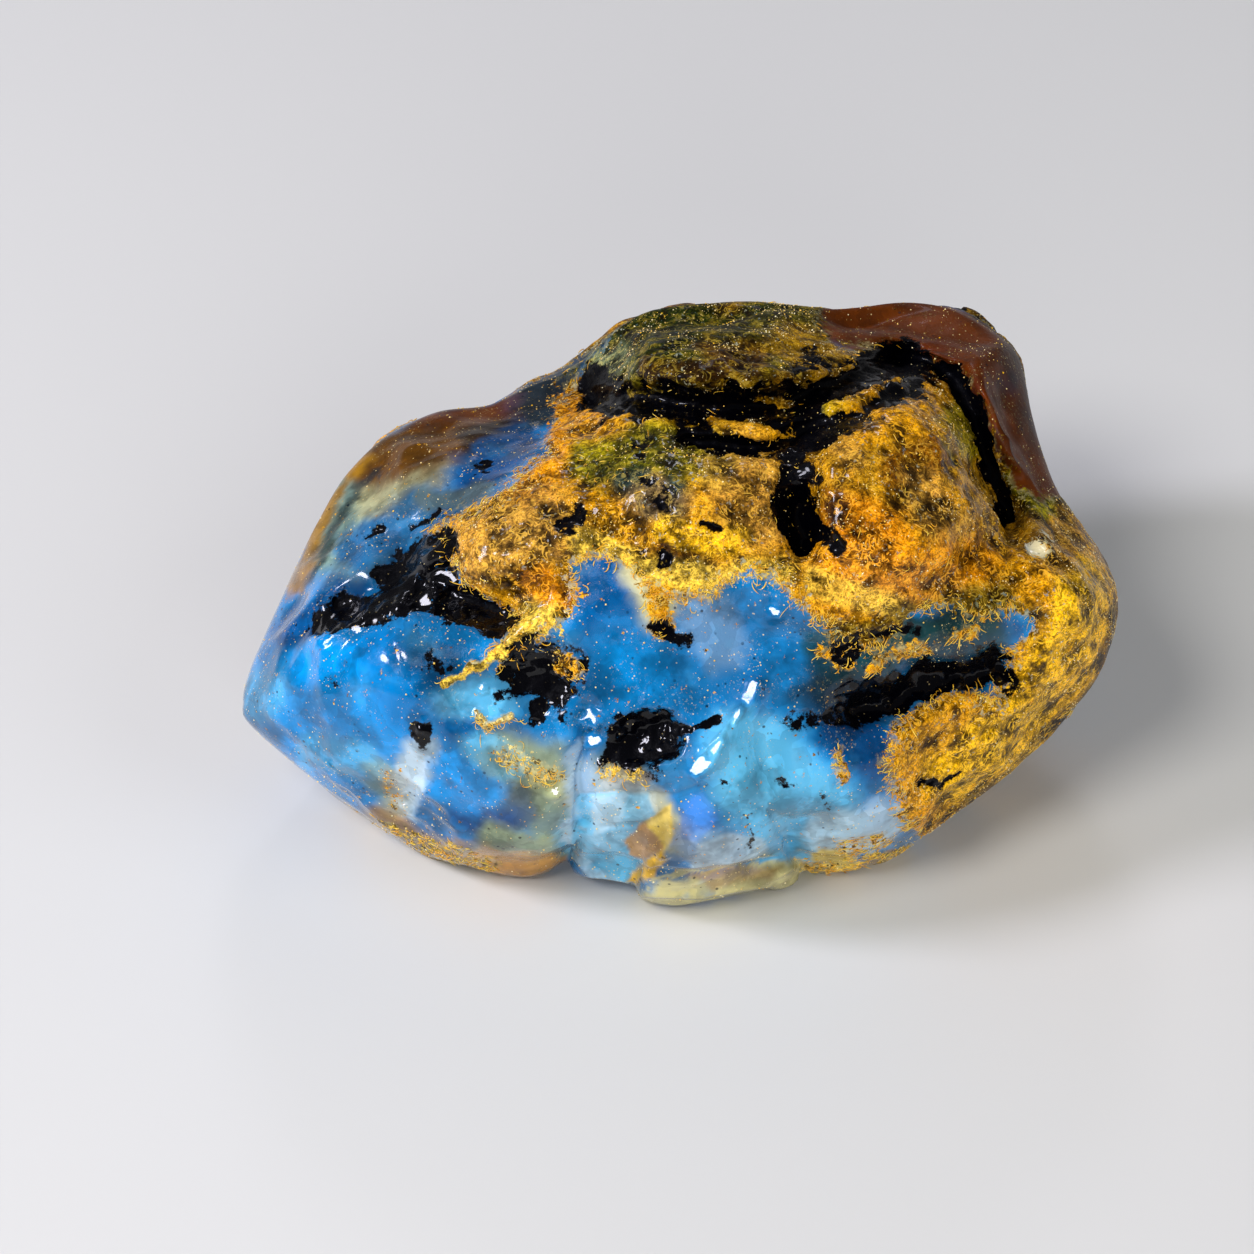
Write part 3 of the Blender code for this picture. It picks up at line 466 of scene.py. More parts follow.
# Small smooth chips that mirror the lamp on the left: points, half width and lift out of the skin, in mm
CHIPS = [
    ([(-15.0, 1.5), (-14.4, 1.8)], 0.80, 0.1), ([(-16.1, 0.1), (-15.5, 0.7)], 0.54, 0.1),
    ([(-19.3, -1.0)], 0.60, 0.1), ([(-20.3, -1.6), (-19.9, -1.3)], 0.46, 0.1),
    ([(-22.5, -2.4), (-21.3, -1.8)], 0.34, 0.1), ([(-19.1, 0.1), (-17.8, 1.0)], 0.26, 0.1),
    ([(-12.8, -0.4)], 0.20, 0.2), ([(-12.4, -5.2)], 0.40, 0.1), ([(-5.6, -7.1)], 0.78, 0.8),
    ([(-5.4, -8.4)], 0.64, 0.3), ([(-5.2, -9.6), (-5.0, -9.9)], 0.26, 0.2), ([(-3.6, -7.9)], 0.24, 0.3),
    ([(-5.2, 5.9)], 0.36, 0.2), ([(5.9, -0.4)], 0.62, 0.1), ([(4.7, -4.9), (4.2, -5.8)], 0.50, 0.0),
    ([(3.7, -6.7), (3.3, -7.4)], 0.30, 0.0), ([(2.5, -8.6), (2.0, -9.3)], 0.36, -0.1),
    ([(1.4, -9.8), (1.0, -10.4)], 0.58, -0.2), ([(22.4, 3.5)], 0.90, 0.1), ([(18.1, 2.5)], 0.55, 0.1),
    ([(16.1, 6.9)], 0.32, 0.2), ([(-7.8, -11.6)], 0.50, 0.1), ([(-6.0, -13.6)], 0.36, 0.2),
    ([(-17.2, -12.4)], 0.36, 0.1), ([(-4.3, -1.9)], 0.22, 0.1), ([(8.1, -1.9)], 0.24, 0.1),
    ([(12.8, -6.1)], 0.28, 0.3), ([(16.6, -5.4), (17.4, -5.0)], 0.24, 0.3), ([(7.4, 0.9)], 0.22, 0.1),
    ([(6.4, 8.6)], 0.22, 0.3), ([(-22.0, -9.8)], 0.22, 0.1), ([(-25.2, -6.8)], 0.18, 0.1),
    ([(9.6, -14.3)], 0.26, 0.1), ([(-1.0, -15.7)], 0.24, 0.1), ([(-9.9, -3.6)], 0.20, 0.3),
    ([(11.8, 8.8)], 0.20, 0.2), ([(14.6, 10.4)], 0.18, 0.2), ([(-8.6, 5.2)], 0.18, 0.2),
]

# Twice the radius of the chips' slight swell, and how far the flattening may move the skin, in mm
CHIP_ROUNDING = 16.0
CHIP_REACH = 0.45

# How many values a seed's noise draws, and the large primes that scatter them over the lattice
NOISE_VALUES = 4096
SCATTER = np.array([73856093, 19349663, 83492791])

# Noise: the first layer's seed, and each layer's feature size in mm and its height
NOISES = {
    "break_stray": (31, [(4.0, 0.7), (1.7, 0.28)]),
    "rim_shift_a": (41, [(3.6, 2.2), (1.5, 0.9)]),
    "rim_shift_b": (43, [(3.6, 1.2), (1.5, 0.6)]),
    "back_border": (47, [(3.1, 0.16), (1.2, 0.06)]),
    "torn_soot": (57, [(1.9, 0.45), (0.8, 0.35)]),
    "clouds": (71, [(3.2, 0.6), (1.4, 0.3)]),
    "crust_tone": (73, [(2.2, 0.6), (0.9, 0.3)]),
    "back_crust": (81, [(6.5, 1.0), (2.8, 0.5), (1.1, 0.2)]),
    "veins": (84, [(4.5, 1.0), (1.6, 0.3)]),
    "vein_patches": (86, [(8.0, 1.0)]),
    "honey_patches": (87, [(7.0, 1.0), (2.4, 0.3)]),
    "rust_patches": (89, [(4.0, 0.8)]),
    "brown_patches": (90, [(2.5, 1.0)]),
    "crust_lumps": (101, [(1.35, 0.55), (0.62, 0.30), (0.34, 0.16)]),
    "resin_swell": (106, [(1.6, 0.035)]),
    "chip_edge": (111, [(0.5, 0.35)]),
    "grit_clumps": (8, [(1.6, 1.0), (0.7, 0.5)]),
}

# How noise moves the layout aside: the first seed, and each layer's feature size and reach in mm
SHIFTS = {
    "wander": (11, [(2.6, 0.45)]),
    "ragged": (51, [(1.7, 0.35), (0.7, 0.24), (0.33, 0.12)]),
    "soft": (61, [(2.4, 0.45), (0.9, 0.28), (0.4, 0.14)]),
    "crisp": (67, [(1.6, 0.12), (0.5, 0.07)]),
}

# Lamps: place from the lump's middle and width, in metres, share of the key light's power, colour, and
# whether the wet skin mirrors the lamp
WARM_WHITE, COOL_WHITE, VIOLET_WHITE = (1.0, 0.98, 0.95), (0.94, 0.97, 1.0), (0.88, 0.87, 1.0)
LEFT_LAMP = (-0.38, -0.04, 0.31)
LAMPS = {
    "key": ((-0.22, -0.22, 0.38), 0.20, 1.0, WARM_WHITE, False),
    "front": ((0.04, -0.40, 0.10), 0.24, 0.56, WARM_WHITE, False),
    "fill": ((0.36, -0.20, 0.26), 0.30, 0.42, COOL_WHITE, False),
    "back": ((0.05, 0.36, 0.34), 0.30, 0.14, COOL_WHITE, False),
    "left_lamp": (LEFT_LAMP, 0.13, 1.2, VIOLET_WHITE, True),
    "back_lamp": ((0.0, 0.40, 0.25), 0.09, 0.14, VIOLET_WHITE, True),
}

# The picture's size, and where the lump's middle lies in it from its left and its top, in pixels
PICTURE = 1254
MIDDLE_RIGHT, MIDDLE_DOWN = 680, 605


def noise(points, seed):
    """Smooth noise from -1 to 1 with features one unit across: eight seeded lattice values, blended."""
    table = np.random.default_rng(seed).uniform(-1, 1, NOISE_VALUES)
    cell = np.floor(points).astype(np.int64)
    part = points - cell
    part = part * part * (3 - 2 * part)
    total = np.zeros(len(points))
    for corner in range(8):
        step = np.array([corner >> 2 & 1, corner >> 1 & 1, corner & 1])
        at = cell + step
        first, second, third = (at * SCATTER).T
        key = (first ^ second ^ third) % NOISE_VALUES
        total += table[key] * np.where(step, part, 1 - part).prod(axis=1)
    return total


def layered(points, name):
    """The noise that NOISES gives under a name: its layers, each on the next seed, summed."""
    seed, layers = NOISES[name]
    return sum(height * noise(points / size, seed + number) for number, (size, height) in enumerate(layers))


def smooth_step(low, high, value):
    """0 below low, 1 above high, and an S-shaped rise between."""
    t = np.clip((value - low) / (high - low), 0, 1)
    return t * t * (3 - 2 * t)


def rim_curve(around, per_span=12):
    """The rim at each angle: its distance, its distance with the corners rounded off, and its w.

    A smooth curve runs through the points of RIM. At each it heads from the point before to the point
    after. It is read as polar coordinates, and the rounded distance is the mean over ROUNDING degrees.
    """
    here = np.array(RIM)
    before, after, later = np.roll(here, 1, 0), np.roll(here, -1, 0), np.roll(here, -2, 0)
    here, before, after, later = (x[:, None, :] for x in (here, before, after, later))
    t = (np.arange(per_span) / per_span)[None, :, None]
    curve = 0.5 * (2 * here + (after - before) * t
                   + (2 * before - 5 * here + 4 * after - later) * t**2
                   + (3 * here - before - 3 * after + later) * t**3)
    curve = curve.reshape(-1, 3)
    angle = np.arctan2(curve[:, 1], curve[:, 0])
    distance = np.hypot(curve[:, 0], curve[:, 1])
    edge = np.interp(around, angle, distance, period=2 * math.pi)
    spread = np.radians(np.linspace(-ROUNDING, ROUNDING, 17) / 2)
    rounded = sum(np.interp(around + turn, angle, distance, period=2 * math.pi) for turn in spread)
    return edge, rounded / len(spread), np.interp(around, angle, curve[:, 2], period=2 * math.pi)


def lobe_height(a, b, lobe):
    """Height of one lobe at a, b: its full height in the middle, falling to nothing at its oval edge."""
    (a0, b0), (along, across), turn, height, steep = lobe
    c, s = math.cos(math.radians(turn)), math.sin(math.radians(turn))
    q = np.hypot(((a - a0) * c + (b - b0) * s) / along, ((b - b0) * c - (a - a0) * s) / across)
    return height * (1 - smooth_step(steep, 1.15, q))


def line_distance(a, b, points):
    """Distance in mm from a, b to a line of straight pieces, or to a single point."""
    nearest = np.full(a.shape, np.inf)
    for (a0, b0), (a1, b1) in zip(points, points[1:] or points):
        da, db = a1 - a0, b1 - b0
        t = np.clip(((a - a0) * da + (b - b0) * db) / max(da * da + db * db, 1e-9), 0, 1)
        nearest = np.minimum(nearest, np.hypot(a - a0 - t * da, b - b0 - t * db))
    return nearest


def brush(a, b, points, width):
    """Share of a brush line at a, b: 1 along it, falling to 0 past its half width."""
    return 1 - smooth_step(0.55, 1.45, line_distance(a, b, points) / width)


def inside_depth(a, b, outline):
    """Signed distance in mm to a closed outline, above 0 inside: the nearest side, and how many sides a
    line from the point crosses."""
    inside = np.zeros(a.shape, bool)
    for (a0, b0), (a1, b1) in zip(outline, outline[1:] + outline[:1]):
        if b0 != b1:
            inside ^= ((b0 > b) != (b1 > b)) & (a < (a1 - a0) * (b - b0) / (b1 - b0) + a0)
    return np.where(inside, 1, -1) * line_distance(a, b, outline + outline[:1])


def broken(points, keep):
    """Points inside a break's uneven ball are pushed out to it, except where keep is 1 along the rim. It
    gives the points and how far each was pushed."""
    stray = layered(points, "break_stray")
    pushed = np.zeros(len(points))
    for middle, radius in BREAKS.values():
        away = points - np.array(middle)
        distance = np.linalg.norm(away, axis=1)
        inside = np.clip((radius + stray - distance) / BREAK_EDGE, -30, 30)
        push = BREAK_EDGE * np.logaddexp(0, inside) * (1 - keep)
        points = points + away * (push / distance)[:, None]
        pushed += push
    return points, pushed


def body(directions):
    """The lump's body at unit directions from its middle: places in mm as a, b and w, and how far the
    breaks pushed them.

    The distance from the middle follows the rim near it and the rounded rim further in. Lobes and runs
    then move the face along w, swells move the skin in and out, and breaks hollow the hidden side.
    """
    out = directions[:, 2]
    around = np.arctan2(directions[:, 1], directions[:, 0])
    edge, rounded, edge_w = rim_curve(around)
    across = np.sqrt(np.clip(1 - out * out, 0, 1))
    fullness = np.where(out > 0, FACE_FULLNESS, BACK_FULLNESS)
    share = across**fullness
    reach = rounded + (edge - rounded) * smooth_step(np.where(out > 0, 0.70, 0.94), 1.0, across)
    a, b = np.cos(around) * reach * share, np.sin(around) * reach * share
    swell = np.where(out > 0, FACE_SWELL, BACK_SWELL) / MM
    w = edge_w * share**2 + swell * np.sign(out) * np.abs(out) ** fullness

    grain = np.stack([a, b, w], axis=1)
    wander_a, wander_b = shifted(a, b, grain, "wander")
    relief = sum(lobe_height(wander_a, wander_b, lobe) for lobe in LOBES.values())
    for height, width, points in RUNS.values():
        relief = relief + height * np.exp(-((line_distance(wander_a, wander_b, points) / width) ** 2))
    w = w + relief * smooth_step(-0.05, 0.25, out)

    seen = 1 - w * MM / EYE_DISTANCE
    placed = np.stack([a * seen, b * seen, w], axis=1)
    hidden = 1 - smooth_step(-0.25, -0.02, out)
    slope = smooth_step(0.02, 0.25, out) * (1 - smooth_step(0.45, 0.75, out))
    face = smooth_step(0.45, 0.75, out)
    for number, (size, face_height, slope_height, back_height) in enumerate(LUMPS):
        swells = noise(grain / size, 21 + number)
        push = (face_height * face + back_height * hidden) * swells
        push = push - slope_height * slope * np.abs(swells)
        placed = placed + directions * push[:, None]
    rim_band = smooth_step(-0.10, -0.01, out) * (1 - smooth_step(0.01, 0.10, out))
    return broken(placed, rim_band)


def tint(name):
    """A palette colour as linear light."""
    screen = np.array(PALETTE[name]) / 255
    return np.where(screen <= 0.04045, screen / 12.92, ((screen + 0.055) / 1.055) ** 2.4)


def mixed(colour, other, share):
    """One colour or one for each point, turned into the other where share is 1."""
    return colour + (other - colour) * share[:, None]


def washed(colour, a, b, marks):
    """The colour with each mark's wash laid over it in turn."""
    for points, width, name, share in marks.values():
        colour = mixed(colour, tint(name), share * brush(a, b, points, width))
    return colour


def marked(share, a, b, marks, torn=1):
    """The share of one kind of skin with each mark laid in turn. A mark above 0 raises it to the mark's
    own share, and one below 0 takes that share of it away. torn widens and narrows the marks."""
    for points, width, reach in marks.values():
        mark = reach * brush(a, b, points, width * torn)
        share = np.maximum(share, mark) if reach > 0 else share * (1 + mark)
    return share


def layout(place):
    """The face's a and b as the eye sees a place, read from its position in mm."""
    seen = 1 - place[:, 2] * MM / EYE_DISTANCE
    return place[:, 0] / seen, place[:, 1] / seen


def shifted(a, b, place, name):
    """The layout moved aside by the noise that SHIFTS gives under a name: two seeds for each layer."""
    seed, layers = SHIFTS[name]
    for number, (size, reach) in enumerate(layers):
        a = a + reach * noise(place / size, seed + 2 * number)
        b = b + reach * noise(place / size, seed + 2 * number + 1)
    return a, b


def face_skin(place, a, b):
    """Shares and colours of the skin as the marks on the face give them, with their edges moved by noise
    so that they are ragged round the crust and the soot, soft in the washes and crisp round the facets."""
    ragged = shifted(a, b, place, "ragged")
    soft = shifted(a, b, place, "soft")
    crisp = shifted(a, b, place, "crisp")
    whole = np.ones(len(place))
    crust = smooth_step(-1.4, 0.9, inside_depth(*ragged, CRUST_EDGE))
    resin = mixed(tint("mid_blue"), tint("azure"), np.clip(0.5 + layered(place, "clouds"), 0, 1))
    resin = washed(resin, *soft, RESIN_MARKS)
    for outline, name, share in FACETS.values():
        resin = mixed(resin, tint(name), share * smooth_step(-0.12, 0.12, inside_depth(*crisp, outline)))
    crusty = mixed(tint("gold"), tint("dull_gold"), np.clip(0.5 + layered(place, "crust_tone"), 0, 1))
    return {
        "crust": marked(crust, *ragged, CRUST_MARKS),
        "soot": marked(0 * whole, *ragged, SOOT_MARKS, torn=1 + layered(place, "torn_soot")),
        "clear": marked(CLEAR_BODY * whole, *soft, CLEAR_MARKS),
        "wet": marked(whole, *soft, DULL_MARKS),
        "resin": resin,
        "crusty": washed(crusty, *soft, CRUST_TONES),
    }


def hidden_skin(place, pushed):
    """Shares and colours of the skin behind the rim, where noise alone spreads crust, clear resin and
    black veins. Fresh breaks are the clearest and have the least crust."""
    fresh = smooth_step(0.6, 1.4, pushed)
    veins = 1 - smooth_step(0.02, 0.14, np.abs(layered(place, "veins")))
    resin = mixed(tint("deep_blue"), tint("azure"), np.clip(0.5 + layered(place, "clouds"), 0, 1))
    crusty = mixed(tint("gold"), tint("rust"), np.clip(0.5 + layered(place, "rust_patches"), 0, 1))
    return {
        "crust": smooth_step(-0.35, 0.05, layered(place, "back_crust")) * (1 - 0.75 * fresh),
        "soot": veins * smooth_step(-0.1, 0.3, layered(place, "vein_patches")),
        "clear": CLEAR_BREAK * fresh + CLEAR_BODY,
        "resin": mixed(resin, tint("brown_gold"), smooth_step(0.1, 0.6, layered(place, "honey_patches"))),
        "crusty": mixed(crusty, tint("brown"), smooth_step(0.1, 0.6, layered(place, "brown_patches"))),
    }


def skin(directions):
    """Everything about the skin at unit directions: places, and shares and colours of what it is made of.

    The face's marks lie where its own a, b say. Near the rim noise moves them further aside, and past it
    the hidden side's patches take over along a ragged border.
    """
    place, pushed = body(directions)
    a, b = layout(place)
    out = directions[:, 2]
    steep = 1 - smooth_step(-0.05, 0.16, out)
    a = a + steep * layered(place, "rim_shift_a")
    b = b + steep * layered(place, "rim_shift_b")
    look = face_skin(place, a, b)
    back = 1 - smooth_step(-0.26, -0.02, out + layered(place, "back_border"))
    for name, hidden in hidden_skin(place, pushed).items():
        share = back if hidden.ndim == 1 else back[:, None]
        look[name] = look[name] + (hidden - look[name]) * share
    return {"place": place, "a": a, "b": b, "out": out, **look}


def fine_relief(look):
    """Height in mm of the skin's finest forms, and how open to light they are, from 0 in their pits.

    The crust stands proud with lumps and pits, the pockets are sunk and bubbly, and the resin is almost
    smooth apart from its thin crests and cracks.
    """
    place, crust, soot = look["place"], look["crust"], look["soot"]
    shape = bpy.context.scene.amber_shape
    lumps = layered(place, "crust_lumps")
    bubbles = np.abs(noise(place / 0.95, 104)) + 0.5 * np.abs(noise(place / 0.45, 105))
    rugged = 0.35 + 0.65 * smooth_step(0.15, 0.55, look["out"])
    height = shape.crust_step / MM * smooth_step(0.35, 0.65, crust) * (1 - soot)
    height = height + shape.crust_relief / MM * crust * (1 - soot) * rugged * lumps
    height = height + shape.pocket_relief / MM * smooth_step(0.35, 0.7, soot) * (bubbles - 0.9)
    height = height + (1 - crust) * (1 - soot) * layered(place, "resin_swell")
    for rise, width, points in FINE_RUNS.values():
        distance = line_distance(look["a"], look["b"], points)
        height = height + rise * np.exp(-((distance / width) ** 2))
    return height, smooth_step(-0.55, 0.35, lumps)


def chipped(place, out):
    """Places with each chip made almost flat. Its normal lies halfway between the directions to the eye and
    to the lamp from the chip's middle, and w falls below that plane with the square of the distance. The
    plane stands at the skin's mean level there. It moves no point further than CHIP_REACH and the lift."""
    a, b = layout(place)
    ragged = 1 + layered(place, "chip_edge")
    lamp = lying(np.array([LEFT_LAMP]) + (0, -MIDDLE_FORWARD, MIDDLE_HEIGHT))[0]
    eye = np.array([0, 0, EYE_DISTANCE / MM])
    moved = place.copy()
    for points, width, lift in CHIPS:
        middle = place[np.argmin(np.where(out < 0, np.inf, np.hypot(a - points[0][0], b - points[0][1])))]
        to_lamp, to_eye = lamp - middle, eye - middle
        normal = to_lamp / np.linalg.norm(to_lamp) + to_eye / np.linalg.norm(to_eye)
        away = place - middle
        fall = away[:, :2] @ normal[:2] + (away[:, :2] ** 2).sum(axis=1) / CHIP_ROUNDING
        gap = -fall / normal[2] - away[:, 2]
        share = (1 - smooth_step(0.80, 1.25, line_distance(a, b, points) / (width * ragged))) * (out > 0)
        gap = gap - (gap * share).sum() / max(share.sum(), 1e-9)
        moved[:, 2] += share * (lift + np.clip(gap, -CHIP_REACH, CHIP_REACH))
    return moved


def ball_grid(cells, draw):
    """A ball's grid: unit directions and four-sided faces. The six sides of a cube are cut into cells,
    the tangent spreads them evenly over the ball, and the angle from the face's own direction is
    lessened by draw times its sine, so that the face gets more of the cells."""
    u, v = (x.ravel() for x in np.meshgrid(np.arange(cells + 1), np.arange(cells + 1), indexing="ij"))
    low, high = np.zeros_like(u), np.full_like(u, cells)
    sides = [(high, u, v), (low, v, u), (v, high, u), (u, low, v), (u, v, high), (v, u, low)]
    lattice = np.stack([np.concatenate([side[axis] for side in sides]) for axis in range(3)], axis=1)
    key = (lattice[:, 0] * (cells + 1) + lattice[:, 1]) * (cells + 1) + lattice[:, 2]
    _, first, index = np.unique(key, return_index=True, return_inverse=True)
    grid = index.reshape(6, cells + 1, cells + 1)
    quads = np.stack([grid[:, :-1, :-1], grid[:, 1:, :-1], grid[:, 1:, 1:], grid[:, :-1, 1:]], axis=-1)
    corners = np.tan((lattice[first] * 2 / cells - 1) * (math.pi / 4))
    unit = corners / np.linalg.norm(corners, axis=1, keepdims=True)
    angle = np.arccos(np.clip(unit[:, 2], -1, 1))
    drawn = angle - draw * np.sin(angle)
    sideways = unit[:, :2] / np.maximum(np.sin(angle), 1e-9)[:, None]
    return np.column_stack([sideways * np.sin(drawn)[:, None], np.cos(drawn)]), quads.reshape(-1, 4)


def corner_normals(points, quads):
    """Outward directions at the points: each face's cross product of its diagonals, summed at corners."""
    across = np.cross(points[quads[:, 2]] - points[quads[:, 0]], points[quads[:, 3]] - points[quads[:, 1]])
    total = np.stack([np.bincount(quads.ravel(), np.repeat(across[:, axis], 4), len(points))
                      for axis in range(3)], axis=1)
    return total / np.maximum(np.linalg.norm(total, axis=1, keepdims=True), 1e-12)


def standing(points):
    """Turns a, b, w in mm into metres in the frame it stands in, and rests it on the ground."""
    a, b, w = (points * MM).T
    y = b * math.sin(LEAN) - w * math.cos(LEAN) - MIDDLE_FORWARD
    z = b * math.cos(LEAN) + w * math.sin(LEAN) + MIDDLE_HEIGHT
    return np.stack([a, y, np.maximum(z, 0)], axis=1)


def new_piece(name, points, faces, material):
    """A mesh object at the origin from arrays of corners and of faces of one kind."""
    mesh = bpy.data.meshes.new(name)
    sides = faces.shape[1]
    mesh.vertices.add(len(points))
    mesh.vertices.foreach_set("co", points.astype(np.float32).ravel())
    mesh.loops.add(faces.size)
    mesh.loops.foreach_set("vertex_index", faces.astype(np.int32).ravel())
    mesh.polygons.add(len(faces))
    mesh.polygons.foreach_set("loop_start", np.arange(0, faces.size, sides, dtype=np.int32))
    mesh.update(calc_edges=True)
    mesh.validate()
    mesh.materials.append(material)
    piece = bpy.data.objects.new(name, mesh)
    bpy.context.scene.collection.objects.link(piece)
    return piece


def set_attribute(mesh, name, values):
    """Stores one number or one colour at each corner point of the mesh."""
    if values.ndim == 1:
        mesh.attributes.new(name, "FLOAT", "POINT").data.foreach_set("value", values.astype(np.float32))
    else:
        rgba = np.column_stack([values, np.ones(len(values))]).astype(np.float32)
        mesh.attributes.new(name, "FLOAT_COLOR", "POINT").data.foreach_set("color", rgba.ravel())


class Nodes:
    """Short ways to add shader nodes to one material. A value is a plain number or colour, or a socket."""

    def __init__(self, name):
        self.material = bpy.data.materials.new(name)
        self.material.use_nodes = True
        self.tree = self.material.node_tree
        self.shader = self.tree.nodes["Principled BSDF"]
        self.output = self.tree.nodes["Material Output"]

    def add(self, kind, inputs=(), **settings):
        node = self.tree.nodes.new(kind)
        for key, value in settings.items():
            setattr(node, key, value)
        for key, value in dict(inputs).items():
            self.feed(node.inputs[key], value)
        return node

    def feed(self, socket, value):
        if isinstance(value, bpy.types.NodeSocket):
            self.tree.links.new(value, socket)
        else:
            socket.default_value = value

    def set_shader(self, values):
        for name, value in values.items():
            self.feed(self.shader.inputs[name], value)

    def millimetres(self):
        return self.gain(self.add("ShaderNodeTexCoord").outputs["Object"], 1 / MM)

    def attribute(self, name, output="Fac"):
        return self.add("ShaderNodeAttribute", attribute_name=name).outputs[output]

    def noise(self, place, scale, detail=2.0, roughness=0.5, output="Fac"):
        values = {"Vector": place, "Scale": scale, "Detail": detail, "Roughness": roughness}
        return self.add("ShaderNodeTexNoise", values).outputs[output]

    def cells(self, place, scale, output="Distance"):
        return self.add("ShaderNodeTexVoronoi", {"Vector": place, "Scale": scale}).outputs[output]

    def math(self, operation, first, second=0.0):
        return self.add("ShaderNodeMath", {0: first, 1: second}, operation=operation).outputs[0]

    def times(self, first, second):
        return self.math("MULTIPLY", first, second)

    def step(self, value, low, high, to_low=0.0, to_high=1.0):
        """An S-shaped rise between low and high."""
        inputs = {"Value": value, "From Min": low, "From Max": high, "To Min": to_low, "To Max": to_high}
        return self.add("ShaderNodeMapRange", inputs, interpolation_type="SMOOTHSTEP").outputs["Result"]

    def patches(self, place, scale, low, high):
        """Smooth patches: 1 where plain noise is above high, 0 where it is below low."""
        return self.step(self.noise(place, scale, 1), low, high)

    def spots(self, place, scale, inner, outer):
        """Scattered round spots, full up to the inner radius and gone at the outer one, in cells."""
        return self.step(self.cells(place, scale), inner, outer, 1.0, 0.0)

    def threads(self, place, scale, inner, outer):
        """Winding lines where noise passes its middle, full up to inner from it and gone at outer."""
        from_middle = self.math("ABSOLUTE", self.math("SUBTRACT", self.noise(place, scale, 1, 0.4), 0.5))
        return self.step(from_middle, inner, outer, 1.0, 0.0)

    def vector(self, operation, first, second):
        return self.add("ShaderNodeVectorMath", {0: first, 1: second}, operation=operation).outputs[0]

    def gain(self, colour, factor):
        return self.add("ShaderNodeVectorMath", {0: colour, "Scale": factor}, operation="SCALE").outputs[0]

    def channel(self, colour, name):
        return self.add("ShaderNodeSeparateColor", {0: colour}).outputs[name]

    def mix(self, share, first, second):
        """A colour: first, or second where the share is 1."""
        node = self.add("ShaderNodeMix", {0: share, 6: first, 7: second}, data_type="RGBA")
        return node.outputs[2]

    def mix_value(self, share, first, second):
        """A number: first, or second where the share is 1."""
        return self.add("ShaderNodeMix", {0: share, 2: first, 3: second}, data_type="FLOAT").outputs[0]


def rgba(name, gain=1.0):
    """A palette colour for a shader socket, made brighter or darker."""
    return (*(tint(name) * gain), 1.0)


def frayed_shares(n, place):
    """How far crust, the pale haze beside it, and soot reach: their shares, with edges frayed by noise."""
    fray = n.math("SUBTRACT", n.noise(place, 2.2, 3, 0.75), 0.5)
    lace = n.math("SUBTRACT", n.noise(place, 1.3, 4, 0.74), 0.5)
    share = n.attribute("crust")
    crust = n.step(n.math("ADD", share, n.times(fray, 3.0)), 0.42, 0.64)
    haze = n.step(n.math("ADD", share, n.times(lace, 1.5)), 0.18, 0.70)
    soot = n.step(n.math("ADD", n.attribute("soot"), n.times(lace, 2.4)), 0.36, 0.62)
    return crust, haze, soot


def crust_colour(n, place, swirl, tone):
    """Clouds, grain and pits in the crust's own tone, painted shade in its lumps' pits, and pale worm-like
    fibres.
    """
    curled = n.vector("ADD", place, n.gain(swirl, 2.6))
    worms = n.times(n.threads(curled, 1.35, 0.008, 0.055), n.patches(place, 1.1, 0.46, 0.60))
    small = n.times(n.threads(curled, 2.6, 0.010, 0.060), n.patches(place, 1.5, 0.48, 0.62))
    dots = n.times(n.spots(place, 3.1, 0.10, 0.20), n.patches(place, 0.9, 0.46, 0.60))
    pits = n.spots(curled, 1.6, 0.10, 0.26)
    mottle = n.noise(place, 0.75, 4, 0.68)
    dark = n.mix(0.4, n.gain(tone, 0.20), rgba("brown", 0.5))
    glow = n.mix(0.25, n.gain(tone, 1.5), rgba("honey"))
    pale = n.mix(0.30, n.gain(tone, 1.7), rgba("straw"))
    colour = n.mix(n.step(mottle, 0.34, 0.54), dark, tone)
    colour = n.mix(n.times(n.step(mottle, 0.50, 0.68), 0.6), colour, glow)
    colour = n.gain(colour, n.step(n.noise(place, 3.6, 2, 0.7), 0.30, 0.70, 0.50, 1.25))
    colour = n.gain(colour, n.step(n.noise(place, 8.0, 1, 0.7), 0.34, 0.66, 0.62, 1.32))
    # Painted shade: the crust darkens where its fine relief sinks into pits
    colour = n.gain(colour, n.step(n.attribute("open"), 0.0, 1.0, 0.24, 1.10))
    colour = n.mix(n.times(dots, 0.7), colour, rgba("brown", 0.3))
    colour = n.mix(n.times(pits, 0.6), colour, rgba("brown", 0.4))
    return n.mix(n.times(n.math("MAXIMUM", worms, small), 0.75), colour, pale)


